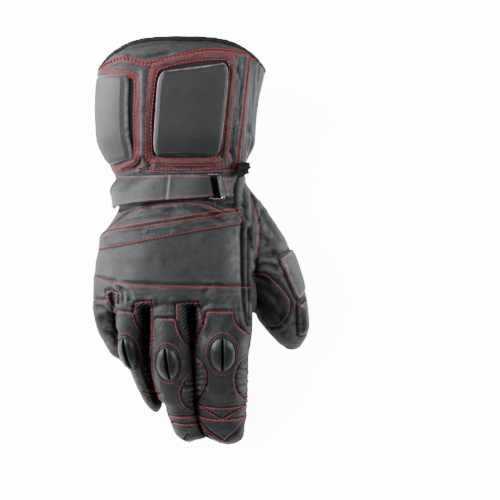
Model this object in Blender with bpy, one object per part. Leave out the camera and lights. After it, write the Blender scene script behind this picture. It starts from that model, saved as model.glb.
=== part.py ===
# A leather gauntlet glove for the right hand, lying palm down with its fingers relaxed.
# Units are metres, +Z is up, the fingers point to -Y, the cuff opens to +Y and the thumb is on +X.
# Every form is a tube or a patch: "share" runs along it, and "around" is an angle in degrees that starts
# on the thumb side (0) and goes over the back of the hand (90) to the little finger's side (180) and the palm (270).
import math
from collections import namedtuple

import bmesh
import bpy
import numpy as np
from mathutils import Matrix, Vector

# Leather and gaps
WALL = 0.0022             # outer leather and lining together
SEAM_GAP = 0.0003         # between two pieces that touch
SEAT_GAP = 0.0007         # under a piece that lies on a curved one, whose facets differ
PANEL_RISE = 0.0014       # a second layer of leather on the back of the hand
BINDING_RADIUS = 0.0017

# Gauntlet, from the wrist to the hem
WRIST_Y = 0.0465          # the seam between the gauntlet and the hand
GAUNTLET_LENGTH = 0.0890  # along the middle of the back
GAUNTLET_WIDTH = 0.1164
GAUNTLET_HEIGHT = 0.078
GAUNTLET_CENTRE_X = -0.0122
HEM_SIDE_DROP = 0.0195    # how far the hem is cut back at its sides
HEM_PALM_DROP = 0.0260    # and at the palm side
REST_HEIGHT = 0.0029      # the gauntlet's flat underside over the floor; the flap fills it

# Hand, from the wrist to the roots of the fingers
HAND_LENGTH = 0.0952
HAND_WIDTH = 0.1127
HAND_HEIGHT = 0.0665      # the knuckles' height over the floor
HAND_CENTRE_X = -0.0186
KNUCKLE_BUMP = 0.0024
KNUCKLE_SPREAD = 0.0085

# Fingers and thumb
INDEX_REACH = 0.0957
MIDDLE_REACH = 0.0955
RING_REACH = 0.0745
LITTLE_REACH = 0.0365
THUMB_REACH = 0.1010
INDEX_WIDTH = 0.0362
MIDDLE_WIDTH = 0.0302
RING_WIDTH = 0.0232
LITTLE_WIDTH = 0.0172
THUMB_WIDTH = 0.0400
FINGER_DEPTH = 0.0415

# Raised pieces
CUFF_PAD_RISE = 0.0042
CUFF_PAD_BEVEL = 0.0022
STRAP_THICKNESS = 0.0024
STRAP_SWELL = 0.0030      # how far the strap stands off the wrist at its loose end
RING_WIRE = 0.0021
OVAL_RISE = 0.0036
OVAL_RIM = 0.0010
SLIDER_RISE = 0.0027
THUMB_PATCH_RISE = 0.0012
FLAP_THICKNESS = 0.0022
GATHER_RISE = 0.0016
GATHER_DEPTH = 0.0014     # of one pucker in the elastic
GATHER_RUFFLE = 0.0050    # how far the elastic's loose end stands out
GATHER_PUCKERS = 19

CENTRING = (-0.00157, 0.00295, 0.0)   # brings the origin under the middle of the whole glove

# How finely the forms are divided
BODY_AROUND = 40
BODY_RINGS = 9
FINGER_AROUND = 20
FINGER_RINGS = 6
TIP_RINGS = 4

# Gauntlet sections: centre is a share of the half width, width of the full width, the heights of the full height.
GauntletRow = namedtuple("GauntletRow", "along centre width top bottom squareness")
GAUNTLET_ROWS = [
    GauntletRow(0.00, -0.038, 0.776, 0.770, 0.070, 2.4),
    GauntletRow(0.13, -0.058, 0.845, 0.815, 0.060, 2.5),
    GauntletRow(0.26, -0.052, 0.922, 0.875, -0.010, 2.7),
    GauntletRow(0.46, -0.055, 0.950, 0.920, -0.020, 2.8),
    GauntletRow(0.74, -0.040, 0.972, 0.965, -0.020, 2.8),
    GauntletRow(1.00, 0.000, 1.000, 1.000, -0.020, 2.7),
]

# Hand sections: as above, and droop is how far the little finger's side hangs, as a share of the height.
HandRow = namedtuple("HandRow", "along centre width top bottom droop thumb_side little_side bumps")
HAND_ROWS = [
    HandRow(0.00, 0.075, 0.801, 0.903, 0.082, 0.00, 2.4, 2.4, 0.0),
    HandRow(0.11, 0.110, 0.795, 0.885, 0.070, 0.01, 2.4, 2.4, 0.0),
    HandRow(0.25, 0.140, 0.812, 0.880, 0.062, 0.03, 2.5, 2.3, 0.0),
    HandRow(0.42, 0.075, 0.905, 0.910, 0.045, 0.09, 2.7, 2.2, 0.0),
    HandRow(0.57, 0.030, 0.965, 0.955, 0.090, 0.16, 2.9, 2.2, 0.0),
    HandRow(0.75, 0.005, 0.990, 0.985, 0.180, 0.22, 3.0, 2.3, 0.3),
    HandRow(1.00, 0.000, 1.000, 0.965, 0.300, 0.26, 3.2, 2.4, 1.0),
]

# Fingers: root is a share of the hand's half width, heights are shares of the hand's height, sway is a share
# of the reach, roll is how far the back of the finger leans to the little finger's side, taper is how much
# narrower it grows than the others, and a lower curl bends it down earlier.
Finger = namedtuple("Finger", "name reach width depth root height tip_height sway roll taper curl")
FINGERS = [
    Finger("finger_index", INDEX_REACH, INDEX_WIDTH, 1.00, 0.615, 0.655, 0.147, 0.035, 0, 0.06, 1.0),
    Finger("finger_middle", MIDDLE_REACH, MIDDLE_WIDTH, 1.00, -0.002, 0.660, 0.147, 0.122, 4, 0.14, 1.0),
    Finger("finger_ring", RING_REACH, RING_WIDTH, 0.90, -0.483, 0.575, 0.137, 0.210, 16, 0.25, 0.80),
    Finger("finger_little", LITTLE_REACH, LITTLE_WIDTH, 0.62, -0.820, 0.418, 0.104, 0.300, 20, 0.0, 0.90),
]

# One finger's form, as shares of its own reach, sway, drop, width and depth.
FingerRow = namedtuple("FingerRow", "along sideways descent width depth squareness")
FINGER_ROWS = [
    FingerRow(0.00, 0.00, 0.00, 1.00, 1.00, 2.9),
    FingerRow(0.16, 0.02, 0.05, 1.00, 0.95, 2.6),
    FingerRow(0.32, 0.12, 0.17, 1.01, 0.89, 2.4),
    FingerRow(0.50, 0.32, 0.40, 0.97, 0.79, 2.3),
    FingerRow(0.68, 0.58, 0.69, 0.94, 0.70, 2.2),
    FingerRow(0.84, 0.82, 0.90, 0.86, 0.64, 2.1),
    FingerRow(1.00, 1.00, 1.00, 0.74, 0.58, 2.0),
]
TIP_START = 0.80          # share of a finger where its rounded end begins

# The thumb leaves the hand's side. Its places are shares of its reach, its sizes of its own width.
ThumbRow = namedtuple("ThumbRow", "out forward height width depth squareness")
THUMB_START_X = 0.018
THUMB_START_Y = 0.026
THUMB_ROWS = [
    ThumbRow(0.000, 0.00, 0.262, 0.98, 0.90, 2.2),
    ThumbRow(0.150, 0.20, 0.272, 1.00, 0.96, 2.3),
    ThumbRow(0.280, 0.42, 0.260, 1.02, 0.98, 2.3),
    ThumbRow(0.376, 0.64, 0.222, 0.94, 0.88, 2.3),
    ThumbRow(0.443, 0.83, 0.160, 0.79, 0.74, 2.2),
    ThumbRow(0.500, 1.03, 0.092, 0.60, 0.60, 2.0),
]

Material = namedtuple("Material", "colour roughness metallic")
LEATHER = Material((0.030, 0.032, 0.034), 0.45, 0.0)
PAD_LEATHER = Material((0.045, 0.047, 0.050), 0.40, 0.0)
DARK_LEATHER = Material((0.016, 0.014, 0.014), 0.50, 0.0)
FLAP_LEATHER = Material((0.035, 0.022, 0.020), 0.60, 0.0)
ELASTIC = Material((0.010, 0.010, 0.010), 0.75, 0.0)
METAL = Material((0.060, 0.060, 0.065), 0.28, 1.0)


def smooth_row(rows, share):
    """One section between the rows of a table, along a smooth curve through all of them."""
    table = np.array(rows, float)
    at = table[:, 0]
    share = min(max(share, at[0]), at[-1])
    k = min(int(np.searchsorted(at, share, side="right")) - 1, len(at) - 2)
    slopes = np.gradient(table, at, axis=0)
    step = at[k + 1] - at[k]
    t = (share - at[k]) / step
    value = ((1 + 2 * t) * (1 - t) ** 2 * table[k] + t * t * (3 - 2 * t) * table[k + 1]
             + t * (1 - t) ** 2 * step * slopes[k] + t * t * (t - 1) * step * slopes[k + 1])
    return type(rows[0])(*value)


def rounded(angle, squareness):
    """Across and up, from -1 to 1, on a rounded outline: 2 is an ellipse, and more is squarer."""
    c, s = math.cos(angle), math.sin(angle)
    power = 2.0 / squareness
    return math.copysign(abs(c) ** power, c), math.copysign(abs(s) ** power, s)


def gauntlet_point(share, around, lift=0.0):
    row = smooth_row(GAUNTLET_ROWS, share)
    across, up = rounded(math.radians(around), row.squareness)
    half = GAUNTLET_WIDTH / 2
    top, bottom = row.top * GAUNTLET_HEIGHT, row.bottom * GAUNTLET_HEIGHT
    middle = (top + bottom) / 2
    cut_back = HEM_SIDE_DROP * abs(across) ** 3.5
    if up < 0:
        cut_back = HEM_SIDE_DROP + (HEM_PALM_DROP - HEM_SIDE_DROP) * (1 - across * across)
    return Vector((
        GAUNTLET_CENTRE_X + row.centre * half + across * (row.width * half + lift),
        WRIST_Y + share * (GAUNTLET_LENGTH - cut_back),
        max(REST_HEIGHT - lift, middle + up * ((top - bottom) / 2 + lift)),
    ))


def hand_point(share, around, lift=0.0):
    row = smooth_row(HAND_ROWS, share)
    half = HAND_WIDTH / 2
    angle = math.radians(around)
    blend = (1 - math.cos(angle)) / 2       # 0 on the thumb side, 1 on the little finger's side
    across, up = rounded(angle, row.thumb_side * (1 - blend) + row.little_side * blend)
    top, bottom = row.top * HAND_HEIGHT, row.bottom * HAND_HEIGHT
    hang = row.droop * HAND_HEIGHT * min(0.0, across) ** 2
    bump = 0.0
    if up > 0:
        for finger in FINGERS:
            away = (across - finger.root) * half / KNUCKLE_SPREAD
            bump += KNUCKLE_BUMP * row.bumps * up * math.exp(-away * away)
    return Vector((
        HAND_CENTRE_X + row.centre * half + across * (row.width * half + lift),
        WRIST_Y - SEAM_GAP - share * HAND_LENGTH,
        (top + bottom) / 2 + up * ((top - bottom) / 2 + lift) - hang + bump,
    ))


def tube_point(centre_at, sizes_at, share, around, lift, roll, end_share):
    """A point on a bent tube whose far end is rounded from end_share on."""
    step = 0.004
    ahead, behind = centre_at(min(1.0, share + step)), centre_at(max(0.0, share - step))
    forward = (ahead - behind).normalized()
    if share == 0.0:
        forward = Vector((0, -1, 0))        # the root sits flat on the end of the hand
    side = Vector((0, 0, 1)).cross(forward).normalized()
    back = forward.cross(side)
    lean = math.radians(roll)
    side, back = side * math.cos(lean) + back * math.sin(lean), back * math.cos(lean) - side * math.sin(lean)
    width, depth, squareness = sizes_at(share)
    end = max(0.0, (share - end_share) / (1 - end_share))
    close = math.sqrt(max(0.0, 1 - end * end))
    across, up = rounded(math.radians(around), squareness)
    return (centre_at(share) + forward * lift * end
            + side * across * close * (width / 2 + lift) + back * up * close * (depth / 2 + lift))


def finger_surface(finger):
    root_y = WRIST_Y - HAND_LENGTH - 2 * SEAM_GAP
    drop = (finger.height - finger.tip_height) * HAND_HEIGHT

    def centre_at(share):
        row = smooth_row(FINGER_ROWS, share)
        return Vector((
            HAND_CENTRE_X + finger.root * HAND_WIDTH / 2 + row.sideways * finger.sway * finger.reach,
            root_y - row.along * finger.reach,
            finger.height * HAND_HEIGHT - max(0.0, row.descent) ** finger.curl * drop,
        ))

    def sizes_at(share):
        row = smooth_row(FINGER_ROWS, share)
        width = row.width * (1 - finger.taper * share) * finger.width
        return width, row.depth * finger.depth * FINGER_DEPTH, row.squareness

    def point(share, around, lift=0.0):
        return tube_point(centre_at, sizes_at, share, around, lift, finger.roll * (1 - 0.5 * share), TIP_START)

    return point


def thumb_point(share, around, lift=0.0):
    rows = [(i / (len(THUMB_ROWS) - 1), *row) for i, row in enumerate(THUMB_ROWS)]
    table = namedtuple("ThumbShare", "share " + " ".join(ThumbRow._fields))
    rows = [table(*row) for row in rows]

    def centre_at(s):
        row = smooth_row(rows, s)
        return Vector((THUMB_START_X + row.out * THUMB_REACH, THUMB_START_Y - row.forward * THUMB_REACH,
                       row.height * THUMB_REACH))

    def sizes_at(s):
        row = smooth_row(rows, s)
        return row.width * THUMB_WIDTH, row.depth * THUMB_WIDTH, row.squareness

    step_share = max(share, 1e-6)
    return tube_point(centre_at, sizes_at, step_share, around, lift, 0, TIP_START)


def new_object(name, mesh, material, collection):
    mesh.transform(Matrix.Translation(CENTRING))
    obj = bpy.data.objects.new(name, mesh)
    collection.objects.link(obj)
    mesh.shade_smooth()
    mesh.set_sharp_from_angle(angle=math.radians(50))
    look = bpy.data.materials.new(name)
    look.use_nodes = True
    shader = look.node_tree.nodes["Principled BSDF"]
    shader.inputs["Base Color"].default_value = (*material.colour, 1)
    shader.inputs["Roughness"].default_value = material.roughness
    shader.inputs["Metallic"].default_value = material.metallic
    mesh.materials.append(look)
    return obj


def loop_faces(bm, first, second, flip=False):
    """The band of faces between two closed rings of the same length."""
    for i in range(len(first)):
        j = (i + 1) % len(first)
        corners = [first[i], first[j], second[j], second[i]]
        bm.faces.new(corners[::-1] if flip else corners)


def ring_of(bm, surface, share, lift, count):
    return [bm.verts.new(surface(share, 360.0 * i / count, lift)) for i in range(count)]


def finished(bm, name):
    """Closes the mesh's account: merged, with its faces pointing out."""
    bmesh.ops.remove_doubles(bm, verts=bm.verts, dist=0.00002)
    bmesh.ops.recalc_face_normals(bm, faces=bm.faces)
    mesh = bpy.data.meshes.new(name)
    bm.to_mesh(mesh)
    bm.free()
    return mesh


def tube_shell(name, surface, shares, around, wall):
    """A tube of leather, open at both ends."""
    bm = bmesh.new()
    outer = [ring_of(bm, surface, s, 0.0, around) for s in shares]
    inner = [ring_of(bm, surface, s, -wall, around) for s in shares]
    for k in range(len(shares) - 1):
        loop_faces(bm, outer[k], outer[k + 1])
        loop_faces(bm, inner[k], inner[k + 1], flip=True)
    loop_faces(bm, outer[0], inner[0], flip=True)
    loop_faces(bm, outer[-1], inner[-1])
    return finished(bm, name)


def closed_shell(name, surface, shares, around, wall, length):
    """A tube of leather with a wall across its far end."""
    bm = bmesh.new()
    outer = [ring_of(bm, surface, s, 0.0, around) for s in shares]
    inner = [ring_of(bm, surface, min(s, 1 - wall / length), -wall, around) for s in shares]
    for k in range(len(shares) - 1):
        loop_faces(bm, outer[k], outer[k + 1])
        loop_faces(bm, inner[k], inner[k + 1], flip=True)
    loop_faces(bm, outer[0], inner[0], flip=True)
    bm.faces.new(outer[-1])
    bm.faces.new(inner[-1][::-1])
    return finished(bm, name)


def prism(name, ring, reach):
    """A straight plug through a wall, from a ring of points, reach to both sides along Y."""
    bm = bmesh.new()
    ends = [[bm.verts.new(point + Vector((0, side * reach, 0))) for point in ring] for side in (-1, 1)]
    loop_faces(bm, *ends)
    for end in ends:
        bm.faces.new(end)
    return finished(bm, name)


def stall_shares():
    """Shares along a finger: even to where the end begins, then closer together round the tip."""
    even = [TIP_START * i / FINGER_RINGS for i in range(FINGER_RINGS)]
    tip = [TIP_START + (1 - TIP_START) * math.sin(math.pi / 2 * i / TIP_RINGS) for i in range(TIP_RINGS)]
    return even + tip


def stall_side(bm, surface, lift, around, flip):
    """One skin of a finger, from its open root to its closed tip. Returns the root's ring."""
    rings = [ring_of(bm, surface, s, lift, around) for s in stall_shares()]
    for first, second in zip(rings, rings[1:]):
        loop_faces(bm, first, second, flip)
    tip = bm.verts.new(surface(1.0, 0, lift))
    last = rings[-1]
    for i in range(around):
        corners = [last[i], last[(i + 1) % around], tip]
        bm.faces.new(corners[::-1] if flip else corners)
    return rings[0]


def stall_shell(name, surface, around, wall):
    """A hollow finger of leather, open at its root."""
    bm = bmesh.new()
    outer = stall_side(bm, surface, 0.0, around, False)
    inner = stall_side(bm, surface, -wall, around, True)
    loop_faces(bm, outer, inner, flip=True)
    return finished(bm, name)


def stall_solid(name, surface, around, lift):
    bm = bmesh.new()
    root = stall_side(bm, surface, lift, around, False)
    bm.faces.new(root)
    return finished(bm, name)


def spread(i, count, even):
    """Where a grid line lies, from -1 to 1: even, or closer together towards the edges."""
    return 2 * i / count - 1 if even else -math.cos(math.pi * i / count)


def patch(name, surface, place, rise, rows, columns, seat=lambda v, w: SEAT_GAP, even=False):
    """A piece that lies on a surface. place turns v and w, each from -1 to 1, into a share and an angle,
    seat gives how far its underside is from the surface there, and rise how thick it is."""
    bm = bmesh.new()
    under, over = [], []
    for i in range(rows + 1):
        v = spread(i, rows, even)
        under.append([])
        over.append([])
        for j in range(columns + 1):
            w = spread(j, columns, even)
            share, around = place(v, w)
            under[-1].append(bm.verts.new(surface(share, around, seat(v, w))))
            over[-1].append(bm.verts.new(surface(share, around, seat(v, w) + rise(v, w))))
    for i in range(rows):
        for j in range(columns):
            bm.faces.new([over[i][j], over[i][j + 1], over[i + 1][j + 1], over[i + 1][j]])
            bm.faces.new([under[i + 1][j], under[i + 1][j + 1], under[i][j + 1], under[i][j]])
    rim = ([(0, j) for j in range(columns)] + [(i, columns) for i in range(rows)]
           + [(rows, j) for j in range(columns, 0, -1)] + [(i, 0) for i in range(rows, 0, -1)])
    for (a, b), (c, d) in zip(rim, rim[1:] + rim[:1]):
        bm.faces.new([over[a][b], under[a][b], under[c][d], over[c][d]])
    return finished(bm, name)


def quad_place(low, high, roundness=8.0, bow=0.0):
    """place for a patch with four corners, given as shares and angles: low and high are its two ends.
    Its corners are rounded, and bow is how far its low end curves out, as a share."""
    def place(v, w):
        half = (1 - abs(0.96 * v) ** roundness) ** (1 / roundness)
        across, along = (w * half + 1) / 2, (v + 1) / 2
        ends = [[a + (b - a) * across for a, b in zip(*end)] for end in (low, high)]
        share, around = [a + (b - a) * along for a, b in zip(*ends)]
        return share - bow * (1 - along) * (1 - (2 * across - 1) ** 2), around
    return place


def flat_rise(height, bevel=0.0, edge=0.35):
    """rise for a plate whose rim is lower than its face."""
    def rise(v, w):
        rim = max(abs(v), abs(w))
        return height if rim < 0.97 or bevel == 0.0 else height - bevel * (1 - edge)
    return rise


def oval_place(share, around, half_share, half_around, lean=0.0):
    """place for an oval patch: a square grid pressed into a disc, whose far end leans over by an angle."""
    def place(v, w):
        x, y = v * math.sqrt(1 - w * w / 2), w * math.sqrt(1 - v * v / 2)
        return share + half_share * x, around + half_around * y + lean * x
    return place


def oval_rise(v, w):
    """Two lobes on a low rim, with a groove between them along the finger."""
    x, y = v * math.sqrt(1 - w * w / 2), w * math.sqrt(1 - v * v / 2)
    dome = math.sqrt(max(0.0, 1 - x * x - y * y))
    groove = 1 - 0.62 * math.exp(-(y / 0.13) ** 2)
    return OVAL_RIM + OVAL_RISE * dome * groove


def make_gauntlet(group):
    shares = [i / (BODY_RINGS - 1) for i in range(BODY_RINGS)]
    new_object("gauntlet", tube_shell("gauntlet", gauntlet_point, shares, BODY_AROUND, WALL), LEATHER, group)


def make_binding(group):
    """The rolled edge of the hem."""
    curve = bpy.data.curves.new("cuff_binding", "CURVE")
    curve.dimensions = "3D"
    curve.bevel_depth = BINDING_RADIUS
    curve.bevel_resolution = 1
    spline = curve.splines.new("POLY")
    spline.points.add(BODY_AROUND - 1)
    spline.use_cyclic_u = True
    for i, point in enumerate(spline.points):
        here = gauntlet_point(1.0, 360.0 * i / BODY_AROUND, -WALL / 2)
        point.co = (here.x, here.y + BINDING_RADIUS + SEAM_GAP, here.z, 1)
    rope = bpy.data.objects.new("binding_curve", curve)
    group.objects.link(rope)
    graph = bpy.context.evaluated_depsgraph_get()
    mesh = bpy.data.meshes.new_from_object(rope.evaluated_get(graph))
    bpy.data.objects.remove(rope)
    new_object("cuff_binding", mesh, DARK_LEATHER, group)


def make_hand(group, cutters):
    shares = [i / (BODY_RINGS - 1) for i in range(BODY_RINGS)]
    shell = closed_shell("hand", hand_point, shares, BODY_AROUND, WALL, HAND_LENGTH)
    hand = new_object("hand", shell, LEATHER, group)
    thumb = new_object("thumb", stall_shell("thumb", thumb_point, FINGER_AROUND, WALL), LEATHER, group)
    cuts = [(hand, new_object("thumb_hole", stall_solid("thumb_hole", thumb_point, FINGER_AROUND, -WALL),
                              LEATHER, cutters))]
    bm = bmesh.new()
    rings = [ring_of(bm, hand_point, s, SEAM_GAP, BODY_AROUND) for s in shares]
    for first, second in zip(rings, rings[1:]):
        loop_faces(bm, first, second)
    bm.faces.new(rings[0])
    bm.faces.new(rings[-1])
    cuts.append((thumb, new_object("hand_solid", finished(bm, "hand_solid"), LEATHER, cutters)))
    for finger in FINGERS:
        root = [finger_surface(finger)(0.0, 360.0 * i / FINGER_AROUND, -WALL) for i in range(FINGER_AROUND)]
        name = finger.name + "_hole"
        cuts.append((hand, new_object(name, prism(name, root, 2 * WALL), LEATHER, cutters)))
    for obj, cutter in cuts:
        cutter.hide_render = True
        cutter.display_type = "WIRE"
        cut = obj.modifiers.new(cutter.name, "BOOLEAN")
        cut.operation = "DIFFERENCE"
        cut.solver = "EXACT"
        cut.object = cutter


def make_fingers(group):
    for finger in FINGERS:
        mesh = stall_shell(finger.name, finger_surface(finger), FINGER_AROUND, WALL)
        new_object(finger.name, mesh, LEATHER, group)


def make_cuff_pieces(group):
    # every place below lists the little finger's side first
    centre = quad_place(((0.150, 104), (0.155, 61)), ((0.755, 98), (0.860, 57)), 7)
    side = quad_place(((0.085, 164), (0.140, 126)), ((0.925, 160), (0.755, 123)), 7)
    plate = flat_rise(CUFF_PAD_RISE, CUFF_PAD_BEVEL)
    new_object("cuff_pad_centre", patch("cuff_pad_centre", gauntlet_point, centre, plate, 7, 7), PAD_LEATHER, group)
    new_object("cuff_pad_side", patch("cuff_pad_side", gauntlet_point, side, plate, 7, 7), PAD_LEATHER, group)
    # the flap's columns lie on the gauntlet's own, so that both are flat where they meet the floor
    flap = quad_place(((0.25, 198), (0.25, 315)), ((0.875, 198), (0.875, 315)), 14)
    new_object("cuff_flap", patch("cuff_flap", gauntlet_point, flap, flat_rise(FLAP_THICKNESS), 5, 13, even=True),
               FLAP_LEATHER, group)


def make_gathers(group):
    """Elastic in puckers across the palm side of the wrist, with a loose end on the thumb's side."""
    def loose(w):
        return max(0.0, (w - 0.80) / 0.20)

    def seat(v, w):
        return SEAT_GAP + GATHER_RUFFLE * loose(w) ** 2

    def rise(v, w):
        pucker = 0.5 - 0.5 * math.cos(math.pi * GATHER_PUCKERS * (w + 1))
        return GATHER_RISE + GATHER_DEPTH * pucker * (1 + loose(w))

    place = quad_place(((0.012, 196), (0.012, 386)), ((0.120, 196), (0.120, 386)), 20)
    mesh = patch("wrist_gathers", gauntlet_point, place, rise, 2, 2 * GATHER_PUCKERS, seat, even=True)
    new_object("wrist_gathers", mesh, ELASTIC, group)


def make_strap(group):
    """The wrist strap, the metal loop it passes through and the tab that holds the loop."""
    def lifted(v, w):
        return SEAT_GAP + STRAP_SWELL * max(0.0, -w) ** 2

    strap = quad_place(((0.245, 192), (0.180, 67.5)), ((0.040, 170), (0.012, 67.5)), 60)
    new_object("wrist_strap", patch("wrist_strap", hand_point, strap, flat_rise(STRAP_THICKNESS), 2, 12, lifted),
               PAD_LEATHER, group)

    curve = bpy.data.curves.new("strap_ring", "CURVE")
    curve.dimensions = "3D"
    curve.bevel_depth = RING_WIRE / 2
    curve.bevel_resolution = 2
    lift = SEAT_GAP + STRAP_THICKNESS + SEAT_GAP + RING_WIRE / 2
    corners = [(0.024, 70.6), (0.012, 68.8), (0.012, 61.8), (0.024, 60.0),
               (0.186, 60.0), (0.198, 61.8), (0.198, 68.8), (0.186, 70.6)]
    spline = curve.splines.new("POLY")
    spline.points.add(len(corners) - 1)
    spline.use_cyclic_u = True
    for point, (share, around) in zip(spline.points, corners):
        point.co = (*hand_point(share, around, lift), 1)
    rope = bpy.data.objects.new("ring_curve", curve)
    group.objects.link(rope)
    graph = bpy.context.evaluated_depsgraph_get()
    mesh = bpy.data.meshes.new_from_object(rope.evaluated_get(graph))
    bpy.data.objects.remove(rope)
    new_object("strap_ring", mesh, METAL, group)

    def bridge(v, w):
        away = max(0.0, min(1.0, (w + 0.35) / 0.7))
        return SEAT_GAP + (lift + RING_WIRE / 2) * (1 - away * away * (3 - 2 * away))

    tab = quad_place(((0.178, 63), (0.174, 43)), ((0.032, 63), (0.032, 43)), 30)
    new_object("strap_tab", patch("strap_tab", hand_point, tab, flat_rise(STRAP_THICKNESS), 2, 8, bridge),
               PAD_LEATHER, group)


def make_back_pieces(group):
    """The layers on the back of the hand."""
    layer = flat_rise(PANEL_RISE)
    crescent = quad_place(((0.318, 164), (0.286, 58)), ((0.413, 168), (0.292, 52)), 20, 0.085)
    band = quad_place(((0.434, 176), (0.286, 37)), ((0.540, 176), (0.376, 37)), 30)
    panel = quad_place(((0.552, 172), (0.388, 37)), ((0.775, 166), (0.815, 36)), 20)
    for name, place, columns, rows in (("wrist_crescent", crescent, 10, 3), ("back_band", band, 14, 2),
                                       ("back_panel", panel, 14, 5)):
        mesh = patch(name, hand_point, place, layer, rows, columns, lambda v, w: 2 * SEAT_GAP)
        new_object(name, mesh, LEATHER, group)


def make_knuckle_pads(group):
    places = {
        "finger_index": oval_place(0.250, 92, 0.140, 33),
        "finger_middle": oval_place(0.322, 104, 0.125, 34, 4),
        "finger_ring": oval_place(0.315, 110, 0.150, 36, 10),
    }
    for finger in FINGERS:
        if finger.name in places:
            name = finger.name.replace("finger_", "knuckle_pad_")
            mesh = patch(name, finger_surface(finger), places[finger.name], oval_rise, 6, 8)
            new_object(name, mesh, PAD_LEATHER, group)


def make_thumb_patches(group):
    upper = quad_place(((0.400, 66), (0.400, 2)), ((0.640, 58), (0.610, 12)), 6)
    lower = quad_place(((0.672, 62), (0.672, 24)), ((0.875, 74), (0.875, 30)), 6)
    for name, place in (("thumb_patch_upper", upper), ("thumb_patch_lower", lower)):
        mesh = patch(name, thumb_point, place, flat_rise(THUMB_PATCH_RISE), 5, 4)
        new_object(name, mesh, LEATHER, group)


def make_palm_pieces(group):
    palm = quad_place(((0.50, 228), (0.56, 300)), ((0.95, 232), (0.95, 300)), 5)
    inner = quad_place(((0.105, 272), (0.120, 304)), ((0.335, 266), (0.345, 296)), 4)
    outer = quad_place(((0.130, 222), (0.120, 250)), ((0.350, 216), (0.340, 244)), 3.2)
    slider = flat_rise(SLIDER_RISE, 0.0012)
    new_object("palm_patch", patch("palm_patch", hand_point, palm, flat_rise(PANEL_RISE), 5, 7), DARK_LEATHER, group)
    new_object("palm_slider_inner", patch("palm_slider_inner", hand_point, inner, slider, 6, 6), PAD_LEATHER, group)
    new_object("palm_slider_outer", patch("palm_slider_outer", hand_point, outer, slider, 6, 6), PAD_LEATHER, group)


def main():
    for obj in list(bpy.data.objects):
        bpy.data.objects.remove(obj)
    group = bpy.data.collections.new("gauntlet_glove")
    cutters = bpy.data.collections.new("cutters")
    bpy.context.scene.collection.children.link(group)
    bpy.context.scene.collection.children.link(cutters)
    make_gauntlet(group)
    make_binding(group)
    make_hand(group, cutters)
    make_fingers(group)
    make_cuff_pieces(group)
    make_gathers(group)
    make_strap(group)
    make_back_pieces(group)
    make_knuckle_pads(group)
    make_thumb_patches(group)
    make_palm_pieces(group)


main()
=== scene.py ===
import math

import bpy
import numpy as np
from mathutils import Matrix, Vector, noise
from mathutils.bvhtree import BVHTree


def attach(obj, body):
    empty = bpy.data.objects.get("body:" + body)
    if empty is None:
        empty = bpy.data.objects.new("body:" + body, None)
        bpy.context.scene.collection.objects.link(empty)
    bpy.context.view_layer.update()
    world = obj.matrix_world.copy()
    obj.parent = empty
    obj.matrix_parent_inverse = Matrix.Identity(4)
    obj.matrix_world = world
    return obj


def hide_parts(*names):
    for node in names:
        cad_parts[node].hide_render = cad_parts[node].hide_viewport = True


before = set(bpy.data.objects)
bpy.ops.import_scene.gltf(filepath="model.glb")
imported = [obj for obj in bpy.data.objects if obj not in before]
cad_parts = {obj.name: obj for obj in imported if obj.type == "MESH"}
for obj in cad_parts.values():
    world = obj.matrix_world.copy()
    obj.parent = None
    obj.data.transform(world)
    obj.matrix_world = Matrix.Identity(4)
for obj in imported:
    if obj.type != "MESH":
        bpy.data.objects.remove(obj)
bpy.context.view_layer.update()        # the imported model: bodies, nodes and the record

# A leather gauntlet glove for the right hand. Metres, the fingers point to -Y and the thumb is on +X.
# Places along a form are a share, and places round it an angle: 0 thumb side, 90 back of the hand,
# 180 little finger's side, 270 palm.

# Camera

camera = {"x": -0.00157, "y": 0.00295, "height": 1.54, "lens": 154.3, "sensor": 36.0,
          "axisX": 199.3, "axisY": 239.3, "frame": 500}
# how wide a place in the frame is, in metres for each metre of depth
perPlace = camera["sensor"] / camera["lens"] / camera["frame"]


def addCamera(values):
    data = bpy.data.cameras.new("camera")
    data.lens = values["lens"]
    data.sensor_width = values["sensor"]
    half = values["frame"] / 2
    data.shift_x = (half - values["axisX"]) / values["frame"]
    data.shift_y = (values["axisY"] - half) / values["frame"]
    data.clip_start, data.clip_end = 0.01, 20
    eye = bpy.data.objects.new("camera", data)
    eye.location = (values["x"], values["y"], values["height"])   # straight above, looking down
    bpy.context.scene.collection.objects.link(eye)
    bpy.context.scene.camera = eye


def frameRays(spots):
    # the directions from the camera through places in the frame
    spots = np.asarray(spots, float)
    return np.stack([(spots[:, 0] - camera["axisX"]) * perPlace, (camera["axisY"] - spots[:, 1]) * perPlace,
                     -np.ones(len(spots))], 1)


def framePlaces(points):
    # where points of the object show in the frame
    deep = camera["height"] - points[:, 2]
    return np.stack([camera["axisX"] + (points[:, 0] - camera["x"]) / deep / perPlace,
                     camera["axisY"] - (points[:, 1] - camera["y"]) / deep / perPlace], 1)


addCamera(camera)
print("camera placed")

# The forms, as in the part's source

centring = np.array([-0.00157, 0.00295, 0.0])
sizes = {
    "wall": 0.0022, "seamGap": 0.0003, "wristY": 0.0465,
    "gauntletLength": 0.0890, "gauntletWidth": 0.1164, "gauntletHeight": 0.078, "gauntletX": -0.0122,
    "hemSideDrop": 0.0195, "hemPalmDrop": 0.0260, "restHeight": 0.0029,
    "handLength": 0.0952, "handWidth": 0.1127, "handHeight": 0.0665, "handX": -0.0186,
    "knuckleBump": 0.0024, "knuckleSpread": 0.0085, "fingerDepth": 0.0415,
    "thumbReach": 0.1010, "thumbWidth": 0.0400, "thumbX": 0.018, "thumbY": 0.026, "tipStart": 0.80,
}
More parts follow.
